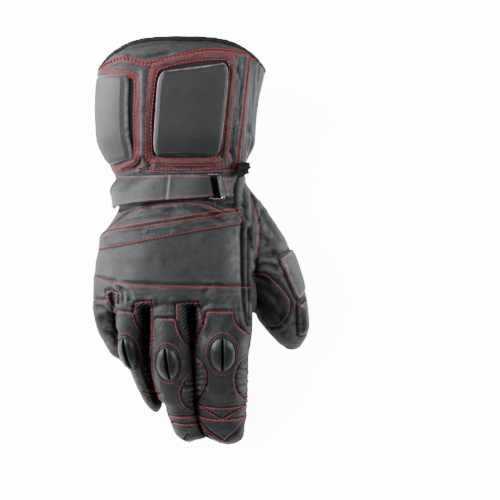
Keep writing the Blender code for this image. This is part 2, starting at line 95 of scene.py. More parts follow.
# share, centre, width, top, bottom, squareness
gauntletRows = [(0.00, -0.038, 0.776, 0.770, 0.070, 2.4), (0.13, -0.058, 0.845, 0.815, 0.060, 2.5),
                (0.26, -0.052, 0.922, 0.875, -0.010, 2.7), (0.46, -0.055, 0.950, 0.920, -0.020, 2.8),
                (0.74, -0.040, 0.972, 0.965, -0.020, 2.8), (1.00, 0.000, 1.000, 1.000, -0.020, 2.7)]
# share, centre, width, top, bottom, droop, squareness on the thumb's and the little finger's side, bumps
handRows = [(0.00, 0.075, 0.801, 0.903, 0.082, 0.00, 2.4, 2.4, 0.0),
            (0.11, 0.110, 0.795, 0.885, 0.070, 0.01, 2.4, 2.4, 0.0),
            (0.25, 0.140, 0.812, 0.880, 0.062, 0.03, 2.5, 2.3, 0.0),
            (0.42, 0.075, 0.905, 0.910, 0.045, 0.09, 2.7, 2.2, 0.0),
            (0.57, 0.030, 0.965, 0.955, 0.090, 0.16, 2.9, 2.2, 0.0),
            (0.75, 0.005, 0.990, 0.985, 0.180, 0.22, 3.0, 2.3, 0.3),
            (1.00, 0.000, 1.000, 0.965, 0.300, 0.26, 3.2, 2.4, 1.0)]
# share, sideways, descent, width, depth, squareness
fingerRows = [(0.00, 0.00, 0.00, 1.00, 1.00, 2.9), (0.16, 0.02, 0.05, 1.00, 0.95, 2.6),
              (0.32, 0.12, 0.17, 1.01, 0.89, 2.4), (0.50, 0.32, 0.40, 0.97, 0.79, 2.3),
              (0.68, 0.58, 0.69, 0.94, 0.70, 2.2), (0.84, 0.82, 0.90, 0.86, 0.64, 2.1),
              (1.00, 1.00, 1.00, 0.74, 0.58, 2.0)]
# share, out, forward, height, width, depth, squareness
thumbRows = [(0.0, 0.000, 0.00, 0.262, 0.98, 0.90, 2.2), (0.2, 0.150, 0.20, 0.272, 1.00, 0.96, 2.3),
             (0.4, 0.280, 0.42, 0.260, 1.02, 0.98, 2.3), (0.6, 0.376, 0.64, 0.222, 0.94, 0.88, 2.3),
             (0.8, 0.443, 0.83, 0.160, 0.79, 0.74, 2.2), (1.0, 0.500, 1.03, 0.092, 0.60, 0.60, 2.0)]
fingers = {
    "index": {"reach": 0.0957, "width": 0.0362, "depth": 1.00, "root": 0.615, "height": 0.655,
              "tip": 0.147, "sway": 0.035, "roll": 0, "taper": 0.06, "curl": 1.0},
    "middle": {"reach": 0.0955, "width": 0.0302, "depth": 1.00, "root": -0.002, "height": 0.660,
               "tip": 0.147, "sway": 0.122, "roll": 4, "taper": 0.14, "curl": 1.0},
    "ring": {"reach": 0.0745, "width": 0.0232, "depth": 0.90, "root": -0.483, "height": 0.575,
             "tip": 0.137, "sway": 0.210, "roll": 16, "taper": 0.25, "curl": 0.80},
    "little": {"reach": 0.0365, "width": 0.0172, "depth": 0.62, "root": -0.820, "height": 0.418,
               "tip": 0.104, "sway": 0.300, "roll": 20, "taper": 0.0, "curl": 0.90},
}


def smoothRows(rows, share):
    table = np.array(rows, float)
    at = table[:, 0]
    share = np.clip(share, at[0], at[-1])
    k = np.clip(np.searchsorted(at, share, side="right") - 1, 0, len(at) - 2)
    slopes = np.gradient(table, at, axis=0)
    step = (at[k + 1] - at[k])[..., None]
    t = (share - at[k])[..., None] / step
    value = ((1 + 2 * t) * (1 - t) ** 2 * table[k] + t * t * (3 - 2 * t) * table[k + 1]
             + t * (1 - t) ** 2 * step * slopes[k] + t * t * (t - 1) * step * slopes[k + 1])
    return np.moveaxis(value, -1, 0)[1:]


def rounded(angle, squareness):
    c, s = np.cos(angle), np.sin(angle)
    power = 2.0 / squareness
    return np.copysign(np.abs(c) ** power, c), np.copysign(np.abs(s) ** power, s)


def paired(share, around, lift):
    return np.broadcast_arrays(np.asarray(share, float), np.asarray(around, float), np.asarray(lift, float))


def gauntletForm(share, around, lift=0.0):
    share, around, lift = paired(share, around, lift)
    centre, width, top, bottom, squareness = smoothRows(gauntletRows, share)
    across, up = rounded(np.radians(around), squareness)
    half = sizes["gauntletWidth"] / 2
    top, bottom = top * sizes["gauntletHeight"], bottom * sizes["gauntletHeight"]
    over = sizes["hemSideDrop"] * np.abs(across) ** 3.5
    under = sizes["hemSideDrop"] + (sizes["hemPalmDrop"] - sizes["hemSideDrop"]) * (1 - across * across)
    cutBack = np.where(up < 0, under, over)
    z = (top + bottom) / 2 + up * ((top - bottom) / 2 + lift)
    return np.stack([sizes["gauntletX"] + centre * half + across * (width * half + lift),
                     sizes["wristY"] + share * (sizes["gauntletLength"] - cutBack),
                     np.maximum(sizes["restHeight"] - lift, z)], -1) + centring


def handForm(share, around, lift=0.0):
    share, around, lift = paired(share, around, lift)
    centre, width, top, bottom, droop, thumbSide, littleSide, bumps = smoothRows(handRows, share)
    half = sizes["handWidth"] / 2
    angle = np.radians(around)
    mix = (1 - np.cos(angle)) / 2
    across, up = rounded(angle, thumbSide * (1 - mix) + littleSide * mix)
    top, bottom = top * sizes["handHeight"], bottom * sizes["handHeight"]
    hang = droop * sizes["handHeight"] * np.minimum(0.0, across) ** 2
    bump = np.zeros_like(share)
    for finger in fingers.values():
        away = (across - finger["root"]) * half / sizes["knuckleSpread"]
        bump = bump + sizes["knuckleBump"] * bumps * np.maximum(up, 0) * np.exp(-away * away)
    return np.stack([sizes["handX"] + centre * half + across * (width * half + lift),
                     sizes["wristY"] - sizes["seamGap"] - share * sizes["handLength"],
                     (top + bottom) / 2 + up * ((top - bottom) / 2 + lift) - hang + bump], -1) + centring


def tubeForm(centreAt, sizesAt, share, around, lift, roll, flatRoot):
    step = 0.004
    forward = centreAt(np.minimum(1.0, share + step)) - centreAt(np.maximum(0.0, share - step))
    forward /= np.linalg.norm(forward, axis=-1, keepdims=True)
    if flatRoot:
        forward = np.where((share <= 0.0)[..., None], np.array([0.0, -1.0, 0.0]), forward)
    side = np.cross(np.array([0.0, 0.0, 1.0]), forward)
    side /= np.linalg.norm(side, axis=-1, keepdims=True)
    back = np.cross(forward, side)
    lean = np.radians(roll)[..., None]
    side, back = side * np.cos(lean) + back * np.sin(lean), back * np.cos(lean) - side * np.sin(lean)
    width, depth, squareness = sizesAt(share)
    end = np.maximum(0.0, (share - sizes["tipStart"]) / (1 - sizes["tipStart"]))
    close = np.sqrt(np.maximum(0.0, 1 - end * end))
    across, up = rounded(np.radians(around), squareness)
    return (centreAt(share) + forward * (lift * end)[..., None]
            + side * (across * close * (width / 2 + lift))[..., None]
            + back * (up * close * (depth / 2 + lift))[..., None]) + centring


def fingerForm(name):
    finger = fingers[name]
    rootY = sizes["wristY"] - sizes["handLength"] - 2 * sizes["seamGap"]
    drop = (finger["height"] - finger["tip"]) * sizes["handHeight"]

    def centreAt(share):
        sideways, descent = smoothRows(fingerRows, share)[:2]
        return np.stack([sizes["handX"] + finger["root"] * sizes["handWidth"] / 2
                         + sideways * finger["sway"] * finger["reach"],
                         rootY - share * finger["reach"],
                         finger["height"] * sizes["handHeight"]
                         - np.maximum(0.0, descent) ** finger["curl"] * drop], -1)

    def sizesAt(share):
        width, depth, squareness = smoothRows(fingerRows, share)[2:]
        return (width * (1 - finger["taper"] * share) * finger["width"],
                depth * finger["depth"] * sizes["fingerDepth"], squareness)

    def form(share, around, lift=0.0):
        share, around, lift = paired(share, around, lift)
        return tubeForm(centreAt, sizesAt, share, around, lift, finger["roll"] * (1 - 0.5 * share), True)

    return form


def thumbForm(share, around, lift=0.0):
    def centreAt(s):
        out, forward, height = smoothRows(thumbRows, s)[:3]
        reach = sizes["thumbReach"]
        return np.stack([sizes["thumbX"] + out * reach, sizes["thumbY"] - forward * reach, height * reach], -1)

    def sizesAt(s):
        width, depth, squareness = smoothRows(thumbRows, s)[3:]
        return width * sizes["thumbWidth"], depth * sizes["thumbWidth"], squareness

    share, around, lift = paired(share, around, lift)
    return tubeForm(centreAt, sizesAt, np.maximum(share, 1e-6), around, lift, share * 0, False)


# Surfaces that seams and pieces are laid on

def vertexNormals(points, quads):
    a, b, c, d = (points[quads[:, i]] for i in range(4))
    flat = np.cross(c - a, d - b)
    total = np.zeros_like(points)
    for i in range(4):
        for axis in range(3):
            total[:, axis] += np.bincount(quads[:, i], flat[:, axis], len(points))
    return total / np.maximum(np.linalg.norm(total, axis=1, keepdims=True), 1e-12)


def unit(vectors):
    return vectors / np.maximum(np.linalg.norm(vectors, axis=-1, keepdims=True), 1e-12)


class Skin:
    # a surface of four-sided faces that other things are laid on
    def __init__(self, points, quads):
        self.points, self.quads = points, quads
        self.normals = vertexNormals(points, quads)
        self.tree = BVHTree.FromPolygons(points.tolist(), quads.tolist())

    def nearest(self, spots):
        places, normals = np.zeros((len(spots), 3)), np.zeros((len(spots), 3))
        for i, spot in enumerate(spots):
            hit, flat, face, away = self.tree.find_nearest(spot)
            places[i] = hit
            corners = self.quads[face]
            weight = 1 / (np.linalg.norm(self.points[corners] - places[i], axis=1) + 1e-5)
            normals[i] = (self.normals[corners] * weight[:, None]).sum(0)
        return places, unit(normals)

    def cast(self, spots):
        # the places on the surface that the camera sees at these places in the frame
        eye = Vector((camera["x"], camera["y"], camera["height"]))
        places = []
        for ray in frameRays(spots):
            ray = Vector(ray)
            hit = self.tree.ray_cast(eye, ray.normalized())[0]
            if hit is None:       # just outside the outline: the nearest place to the ray
                found = [self.tree.find_nearest(eye + ray * (camera["height"] - z))
                         for z in (0.06, 0.045, 0.03, 0.02, 0.01)]
                hit = min(found, key=lambda f: f[3])[0]
            places.append(tuple(hit))
        return np.array(places)


def lengths(path):
    return np.concatenate([[0.0], np.cumsum(np.linalg.norm(np.diff(path, axis=0), axis=1))])


def evenly(path, step):
    at = lengths(path)
    count = max(2, int(round(at[-1] / step)) + 1)
    where = np.linspace(0, at[-1], count)
    return np.stack([np.interp(where, at, path[:, i]) for i in range(path.shape[1])], 1)


def through(points, closed=False, count=10):
    # a smooth curve through points
    points = np.asarray(points, float)
    if closed:
        ring = np.concatenate([points[-1:], points, points[:2]])
    else:
        ring = np.concatenate([2 * points[:1] - points[1:2], points, 2 * points[-1:] - points[-2:-1]])
    parts = []
    for a, b, c, d in zip(ring, ring[1:], ring[2:], ring[3:]):
        t = np.linspace(0, 1, count, endpoint=False)[:, None]
        parts.append(0.5 * (2 * b + (c - a) * t + (2 * a - 5 * b + 4 * c - d) * t ** 2
                            + (3 * b - a - 3 * c + d) * t ** 3))
    return np.concatenate(parts + [points[:1] if closed else points[-1:]])


def softened(path, passes, closed):
    path = path.copy()
    for i in range(passes):
        if closed:
            middle = (np.roll(path[:-1], 1, 0) + np.roll(path[:-1], -1, 0)) / 2
            path[:-1] = (path[:-1] + middle) / 2
            path[-1] = path[0]
        else:
            path[1:-1] = (path[1:-1] * 2 + path[:-2] + path[2:]) / 4
    return path


class Seam:
    # a line on a surface. spots are frame places, or share and angle pairs of a form
    step = 0.0005

    def __init__(self, skin, spots, form=None, closed=False, corners=False, soft=5, **values):
        spots = np.asarray(spots, float)
        if corners:
            line = np.concatenate([spots, spots[:1]]) if closed else spots
            at = lengths(line)
            line = evenly(line, at[-1] / (12 * len(line)))
        else:
            line = through(spots, closed)
        points = skin.cast(line) if form is None else form(line[:, 0], line[:, 1])
        points = softened(evenly(points, self.step), soft, closed)
        self.path, self.normals = skin.nearest(evenly(points, self.step))
        if form is None and not closed:       # a line stops where the camera no longer sees it
            seen = np.where(self.normals[:, 2] > 0.12)[0]
            if len(seen) > 6:
                self.path, self.normals = self.path[seen[0]:seen[-1] + 1], self.normals[seen[0]:seen[-1] + 1]
        self.closed = closed
        # how dark a line leaves the leather is painted shade in its groove
        self.values = {"depth": 0.0008, "width": 0.0008, "puff": 0.0, "lap": 0.0, "lapReach": 0.006,
                       "threads": (0.0012,), "reach": 0.012, "shadeAndDarkDye": 0.85, "tint": 0.75, "row": 0.0005}
        self.values.update(values)

    def sides(self):
        if self.closed:
            ahead = np.roll(self.path[:-1], -2, 0) - np.roll(self.path[:-1], 2, 0)
            ahead = np.concatenate([ahead, ahead[:1]])
        else:
            ahead = np.gradient(self.path, axis=0)
        ahead = softened(unit(ahead), 6, self.closed)
        return unit(np.cross(unit(ahead), self.normals))

    def measure(self, points, normals):
        # each point's distance to the line and its place across it; what faces another way is far away
        reach = self.values["reach"]
        away, side = np.full(len(points), 1.0), np.zeros(len(points))
        low, high = self.path.min(0) - reach, self.path.max(0) + reach
        near = np.where(((points > low) & (points < high)).all(1))[0]
        if len(near) == 0:
            return away, side
        across = self.sides()
        squares = (self.path ** 2).sum(1)
        for part in np.array_split(near, max(1, len(near) * len(self.path) // 3000000)):
            spots = points[part]
            gap = (spots ** 2).sum(1)[:, None] + squares[None] - 2 * spots @ self.path.T
            best = gap.argmin(1)
            away[part] = np.sqrt(np.maximum(gap[np.arange(len(part)), best], 0))
            side[part] = ((spots - self.path[best]) * across[best]).sum(1)
            facing = (normals[part] * self.normals[best]).sum(1)
            away[part] += facing < 0.1
        return away, side


def bell(x, width):
    return np.exp(-(x / width) ** 2)


def smoothStep(x, low, high):
    t = np.clip((x - low) / (high - low), 0, 1)
    return t * t * (3 - 2 * t)


def seamRelief(points, normals, seams):
    # how far the seams push the leather in and out, the shade painted into their grooves, and where red thread
    # shows
    height, shadeAndDarkDye, red = np.zeros(len(points)), np.zeros(len(points)), np.zeros(len(points))
    for seam in seams:
        v = seam.values
        away, side = seam.measure(points, normals)
        for offset in v["threads"]:
            red = np.maximum(red, v["tint"] * bell(side - offset, v["row"]) * (away < abs(offset) + 0.0012))
        height -= v["depth"] * bell(away, v["width"])
        if v["puff"]:
            height += v["puff"] * bell(away - 3.2 * v["width"], 1.8 * v["width"])
        if v["lap"]:
            height += v["lap"] * smoothStep(side, -0.0003, 0.0006) * bell(away, v["lapReach"])
        shadeAndDarkDye = np.maximum(shadeAndDarkDye, v["shadeAndDarkDye"] * bell(away, 1.1 * v["width"]))
    return height, shadeAndDarkDye * (1 - red), red


def unevenness(points, scale, seed):
    shift = Vector((seed * 7.31, seed * 3.17, seed * 5.53))
    k = 1 / scale
    return np.array([noise.noise(Vector(p) * k + shift) for p in points.tolist()])


# Meshes

def newPiece(name, points, faces, material, attributes=None, normals=None):
    mesh = bpy.data.meshes.new(name)
    mesh.from_pydata(points.tolist(), [], faces.tolist() if hasattr(faces, "tolist") else faces)
    mesh.shade_smooth()
    for label, values in (attributes or {}).items():
        layer = mesh.attributes.new(label, "FLOAT", "POINT")
        layer.data.foreach_set("value", np.asarray(values, np.float32))
    mesh.materials.append(material)
    mesh.update()
    if normals is not None:
        mesh.normals_split_custom_set_from_vertices(normals.tolist())
    obj = bpy.data.objects.new(name, mesh)
    bpy.context.scene.collection.objects.link(obj)
    return obj


def placed(obj, slot, *nodes):
    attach(obj, "root")
    if nodes:
        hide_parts(*nodes)
    return obj


def gridQuads(rows, columns, closed=False, flip=False):
    # faces of a grid of points; closed joins the last column to the first
    i, j = np.meshgrid(np.arange(rows - 1), np.arange(columns if closed else columns - 1), indexing="ij")
    i, j = i.ravel(), j.ravel()
    k = (j + 1) % columns
    quads = np.stack([i * columns + j, i * columns + k, (i + 1) * columns + k, (i + 1) * columns + j], 1)
    return quads[:, ::-1] if flip else quads


def rimOf(grid):
    # the points of a grid's rim, once round
    return np.concatenate([grid[0, :-1], grid[:-1, -1], grid[-1, :0:-1], grid[:0:-1, 0]])


def ringQuads(a, b, count):
    # faces between two rings of count points, which start at a and at b
    j = np.arange(count)
    k = (j + 1) % count
    return np.stack([a + j, a + k, b + k, b + j], 1)


def slabMesh(over, under):
    # a closed plate from its upper and lower grid of points
    rows, columns = over.shape[:2]
    count = rows * columns
    rim = rimOf(np.arange(count).reshape(rows, columns))
    sides = np.stack([rim, rim + count, np.roll(rim, -1) + count, np.roll(rim, -1)], 1)
    quads = [gridQuads(rows, columns), gridQuads(rows, columns, flip=True) + count, sides]
    return np.concatenate([over.reshape(-1, 3), under.reshape(-1, 3)]), np.concatenate(quads)


def outwards(points, quads):
    # turns the faces of a closed shape outwards
    a, b, c, d = (points[quads[:, i]] for i in range(4))
    volume = (a * np.cross(b, c)).sum() + (a * np.cross(c, d)).sum()
    return quads if volume > 0 else quads[:, ::-1]


def quadPlace(low, high, roundness):
    # v and w, from -1 to 1, to a share and an angle between four corners
    low, high = np.array(low, float), np.array(high, float)

    def place(v, w):
        half = (1 - np.abs(0.96 * v) ** roundness) ** (1 / roundness)
        across, along = (w * half + 1) / 2, (v + 1) / 2
        ends = [end[0] + (end[1] - end[0]) * across[..., None] for end in (low, high)]
        spot = ends[0] + (ends[1] - ends[0]) * along[..., None]
        return spot[..., 0], spot[..., 1]
    return place


def spread(count, crowd=0.55):
    # grid lines from -1 to 1, closer together towards the edges
    t = np.linspace(-1, 1, count)
    return (1 - crowd) * t + crowd * np.sin(t * math.pi / 2)


def rimDistance(over):
    # how far each point of a grid is from the grid's rim, in metres, with soft corners
    rows, columns = over.shape[:2]
    along = np.concatenate([np.zeros((1, columns)), np.cumsum(np.linalg.norm(np.diff(over, axis=0), axis=2), 0)])
    across = np.concatenate([np.zeros((rows, 1)), np.cumsum(np.linalg.norm(np.diff(over, axis=1), axis=2), 1)], 1)
    a = np.minimum(along, along[-1:] - along)
    b = np.minimum(across, across[:, -1:] - across)
    return np.minimum(a, b)


def edgeRound(distance, radius):
    # 0 at a rim and 1 inside it, along a quarter of a circle
    t = np.clip(distance / radius, 0, 1)
    return np.sqrt(np.maximum(0, 1 - (1 - t) ** 2))


def tubeAlong(path, radius, sides, ups=(0.0, 0.0, 1.0), flat=1.0):
    # a closed ring of tube along points; flat squeezes it along ups
    count = len(path)
    ahead = unit(np.roll(path, -1, 0) - np.roll(path, 1, 0))
    side = unit(np.cross(ahead, ups))
    ups = unit(np.cross(side, ahead))
    radius = np.broadcast_to(radius, (count,))[:, None, None]
    angles = np.linspace(0, 2 * math.pi, sides, endpoint=False)[None, :, None]
    rings = (path[:, None] + side[:, None] * (np.cos(angles) * radius)
             + ups[:, None] * (np.sin(angles) * radius * flat))
    points = rings.reshape(-1, 3)
    quads = np.concatenate([gridQuads(count, sides, True), ringQuads((count - 1) * sides, 0, sides)])
    return points, outwards(points, quads)


# Shader node groups

def group(name, inputs, outputs, kind="ShaderNodeTree"):
    tree = bpy.data.node_groups.new(name, kind)
    for label, socketKind, value in inputs:
        socket = tree.interface.new_socket(name=label, in_out="INPUT", socket_type="NodeSocket" + socketKind)
        if value is not None:
            socket.default_value = value
    for label, socketKind in outputs:
        tree.interface.new_socket(name=label, in_out="OUTPUT", socket_type="NodeSocket" + socketKind)
    return tree, tree.nodes.new("NodeGroupInput"), tree.nodes.new("NodeGroupOutput")


def fill(tree, made, inputs):
    # links or sets a node's sockets
    for key, value in inputs.items():
        if isinstance(value, bpy.types.NodeSocket):
            tree.links.new(value, made.inputs[key])
        elif value is not None:
            made.inputs[key].default_value = value
    return made


def node(tree, kind, inputs, **settings):
    made = tree.nodes.new(kind)
    for key, value in settings.items():
        setattr(made, key, value)
    return fill(tree, made, inputs)


def math2(tree, operation, a, b=None, clamp=False):
    return node(tree, "ShaderNodeMath", {0: a, 1: b}, operation=operation, use_clamp=clamp).outputs[0]


def mixColours(tree, factor, a, b):
    return node(tree, "ShaderNodeMix", {0: factor, 6: a, 7: b}, data_type="RGBA").outputs[2]


def rangeOf(tree, value, fromLow, fromHigh, toLow, toHigh):
    return node(tree, "ShaderNodeMapRange", {"Value": value, "From Min": fromLow, "From Max": fromHigh,
                                             "To Min": toLow, "To Max": toHigh}).outputs[0]


def makeGrainGroup():
    # pebbled leather: small cells with fine lines between them, and pores
    tree, given, result = group("leatherGrain", [("Vector", "Vector", None), ("Cell", "Float", 0.0013),
                                                 ("Wrinkle", "Float", 0.006)],
                                [("Height", "Float"), ("Lines", "Float")])
    scale = math2(tree, "DIVIDE", 1.0, given.outputs["Cell"])
    wide = math2(tree, "DIVIDE", 1.0, given.outputs["Wrinkle"])
    warp = node(tree, "ShaderNodeTexNoise", {"Vector": given.outputs["Vector"], "Scale": scale, "Detail": 2.0})
    moved = node(tree, "ShaderNodeVectorMath", {0: warp.outputs["Color"], "Scale": 0.0006}, operation="SCALE")
    place = node(tree, "ShaderNodeVectorMath", {0: given.outputs["Vector"], 1: moved.outputs[0]}, operation="ADD")
    cells = node(tree, "ShaderNodeTexVoronoi", {"Vector": place.outputs[0], "Scale": scale},
                 feature="DISTANCE_TO_EDGE")
    lines = rangeOf(tree, cells.outputs["Distance"], 0.0, 0.16, 1.0, 0.0)
    fine = node(tree, "ShaderNodeTexNoise", {"Vector": given.outputs["Vector"],
                                             "Scale": math2(tree, "MULTIPLY", scale, 3.0), "Detail": 3.0})
    folds = node(tree, "ShaderNodeTexNoise", {"Vector": given.outputs["Vector"], "Scale": wide, "Detail": 4.0,
                                              "Roughness": 0.55, "Distortion": 1.4})
    ridge = math2(tree, "ABSOLUTE", math2(tree, "SUBTRACT", folds.outputs["Fac"], 0.5))
    ridge = rangeOf(tree, ridge, 0.0, 0.09, 0.0, 1.0)
    height = math2(tree, "MULTIPLY", lines, -0.55)
    height = math2(tree, "ADD", height, math2(tree, "MULTIPLY", fine.outputs["Fac"], 0.45))
    height = math2(tree, "ADD", height, math2(tree, "MULTIPLY", ridge, 0.55))
    tree.links.new(height, result.inputs["Height"])
    tree.links.new(lines, result.inputs["Lines"])
    return tree


def makeToneGroup():
    # uneven dye, painted shade in seams and hollows, and a lighter, dusty colour on rubbed places and on painted
    # highlights
    tree, given, result = group("leatherTone", [
        ("Vector", "Vector", None), ("Leather", "Color", (0.04, 0.04, 0.04, 1)),
        ("WornAndLitColour", "Color", (0.1, 0.1, 0.1, 1)), ("Lines", "Float", 0.0), ("ShadeDyeMask", "Float", 0.0),
        ("WearSheenMask", "Float", 0.0), ("Unevenness", "Float", 0.25), ("Roughness", "Float", 0.45)],
        [("Color", "Color"), ("Roughness", "Float")])
    cloud = node(tree, "ShaderNodeTexNoise", {"Vector": given.outputs["Vector"], "Scale": 38.0, "Detail": 5.0,
                                              "Roughness": 0.6})
    patches = node(tree, "ShaderNodeTexNoise", {"Vector": given.outputs["Vector"], "Scale": 260.0, "Detail": 3.0})
    sway = math2(tree, "ADD", math2(tree, "SUBTRACT", cloud.outputs["Fac"], 0.5),
                 math2(tree, "MULTIPLY", math2(tree, "SUBTRACT", patches.outputs["Fac"], 0.5), 0.6))
    gain = math2(tree, "ADD", 1.0, math2(tree, "MULTIPLY", sway, math2(tree, "MULTIPLY",
                 given.outputs["Unevenness"], 2.4)))
    toned = node(tree, "ShaderNodeVectorMath", {0: given.outputs["Leather"]}, operation="SCALE")
    tree.links.new(gain, toned.inputs["Scale"])
    # lighter colour where the wear mask says, for rubbed wear and for painted highlights
    rubAndSheen = math2(tree, "MULTIPLY", given.outputs["WearSheenMask"],
                   rangeOf(tree, patches.outputs["Fac"], 0.35, 0.62, 0.35, 1.0), clamp=True)
    colour = mixColours(tree, rubAndSheen, toned.outputs[0], given.outputs["WornAndLitColour"])
    # painted shade: the colour goes toward near black where the shade mask says, and the grain's fine lines are
    # darker
    lined = math2(tree, "MULTIPLY", given.outputs["Lines"], 0.35)
    shade = math2(tree, "MAXIMUM", given.outputs["ShadeDyeMask"], lined)
    colour = mixColours(tree, shade, colour, (0.004, 0.004, 0.0045, 1))
    rough = math2(tree, "ADD", given.outputs["Roughness"], math2(tree, "MULTIPLY", sway, 0.35))
    rough = math2(tree, "ADD", rough, math2(tree, "MULTIPLY", given.outputs["ShadeDyeMask"], 0.30))
    rough = math2(tree, "SUBTRACT", rough, math2(tree, "MULTIPLY", rubAndSheen, 0.10), clamp=True)
    tree.links.new(colour, result.inputs["Color"])
    tree.links.new(rough, result.inputs["Roughness"])
    return tree


def makeWeaveGroup():
    # two sets of threads that cross
    tree, given, result = group("threadWeave", [("Vector", "Vector", None), ("Pitch", "Float", 0.0006)],
                                [("Height", "Float")])
    scale = math2(tree, "DIVIDE", 1.0, given.outputs["Pitch"])
    parts = []
    for direction in ("X", "Y"):
        wave = node(tree, "ShaderNodeTexWave", {"Vector": given.outputs["Vector"], "Scale": scale,
                                                "Distortion": 0.6, "Detail": 1.0}, bands_direction=direction)
        parts.append(wave.outputs["Fac"])
    tree.links.new(math2(tree, "MULTIPLY", *parts), result.inputs["Height"])
    return tree


grainGroup, toneGroup, weaveGroup = makeGrainGroup(), makeToneGroup(), makeWeaveGroup()


def newMaterial(name):
    look = bpy.data.materials.new(name)
    look.use_nodes = True
    tree = look.node_tree
    shader = tree.nodes["Principled BSDF"]
    place = tree.nodes.new("ShaderNodeTexCoord").outputs["Object"]
    return look, tree, shader, place


def useGroup(tree, made, inputs):
    return node(tree, "ShaderNodeGroup", inputs, node_tree=made)


def attribute(tree, name):
    return node(tree, "ShaderNodeAttribute", {}, attribute_name=name).outputs["Fac"]


def shaded(colour, share):
    return tuple(min(1, c * share) for c in colour) + (1,)


def leather(name, colour, wornAndLit, roughness=0.46, cell=0.0013, wrinkle=0.006, depth=0.00022, strength=0.8,
            unevenness=0.25, specular=0.22, palm=None, coat=0.0):
    # palm is the colour of the glove's palm side, shown where the attribute of that name says
    look, tree, shader, place = newMaterial(name)
    grain = useGroup(tree, grainGroup, {"Vector": place, "Cell": cell, "Wrinkle": wrinkle})
    base = (*colour, 1)
    if palm:
        base = mixColours(tree, attribute(tree, "palm"), base, (*palm, 1))
        base = mixColours(tree, attribute(tree, "red"), base, redLeather)
    # the dark mask is painted shade, with some darker leather; the wear mask is rubbed wear with painted highlights
    tone = useGroup(tree, toneGroup, {"Vector": place, "Leather": base, "WornAndLitColour": (*wornAndLit, 1),
                                      "Lines": grain.outputs["Lines"], "ShadeDyeMask": attribute(tree, "shadeAndDarkDye"),
                                      "WearSheenMask": attribute(tree, "wearAndSheen"), "Unevenness": unevenness,
                                      "Roughness": roughness})
    bump = node(tree, "ShaderNodeBump", {"Strength": strength, "Distance": depth,
                                         "Height": grain.outputs["Height"]})
    fill(tree, shader, {"Base Color": tone.outputs["Color"], "Roughness": tone.outputs["Roughness"],
                        "Normal": bump.outputs[0], "Specular IOR Level": specular})
    if coat:
        fill(tree, shader, {"Coat Weight": coat, "Coat Roughness": 0.3})
    return look


def thread(name, colour, roughness=0.55):
    look, tree, shader, place = newMaterial(name)
    fuzz = node(tree, "ShaderNodeTexNoise", {"Vector": place, "Scale": 900.0, "Detail": 2.0}).outputs["Fac"]
    bump = node(tree, "ShaderNodeBump", {"Strength": 0.5, "Distance": 0.0001, "Height": fuzz})
    fill(tree, shader, {"Base Color": mixColours(tree, fuzz, shaded(colour, 0.55), shaded(colour, 1.35)),
                        "Normal": bump.outputs[0], "Roughness": roughness})
    return look


def cloth(name, colour, pitch, roughness=0.85):
    look, tree, shader, place = newMaterial(name)
    weave = useGroup(tree, weaveGroup, {"Vector": place, "Pitch": pitch}).outputs["Height"]
    bump = node(tree, "ShaderNodeBump", {"Strength": 0.7, "Distance": 0.0002, "Height": weave})
    fill(tree, shader, {"Base Color": mixColours(tree, weave, shaded(colour, 0.5), (*colour, 1)),
                        "Normal": bump.outputs[0], "Roughness": roughness, "Specular IOR Level": 0.15})
    return look


def metal(name, colour, roughness):
    look, tree, shader, place = newMaterial(name)
    wearAndSheen = node(tree, "ShaderNodeTexNoise", {"Vector": place, "Scale": 500.0, "Detail": 4.0}).outputs["Fac"]
    tint = mixColours(tree, rangeOf(tree, wearAndSheen, 0.5, 0.75, 0.0, 1.0), (*colour, 1), shaded(colour, 2.2))
    rough = rangeOf(tree, wearAndSheen, 0.3, 0.7, roughness * 0.8, roughness * 1.3)
    fill(tree, shader, {"Base Color": tint, "Roughness": rough, "Metallic": 1.0})
    return look


redLeather = (0.095, 0.007, 0.010, 1)
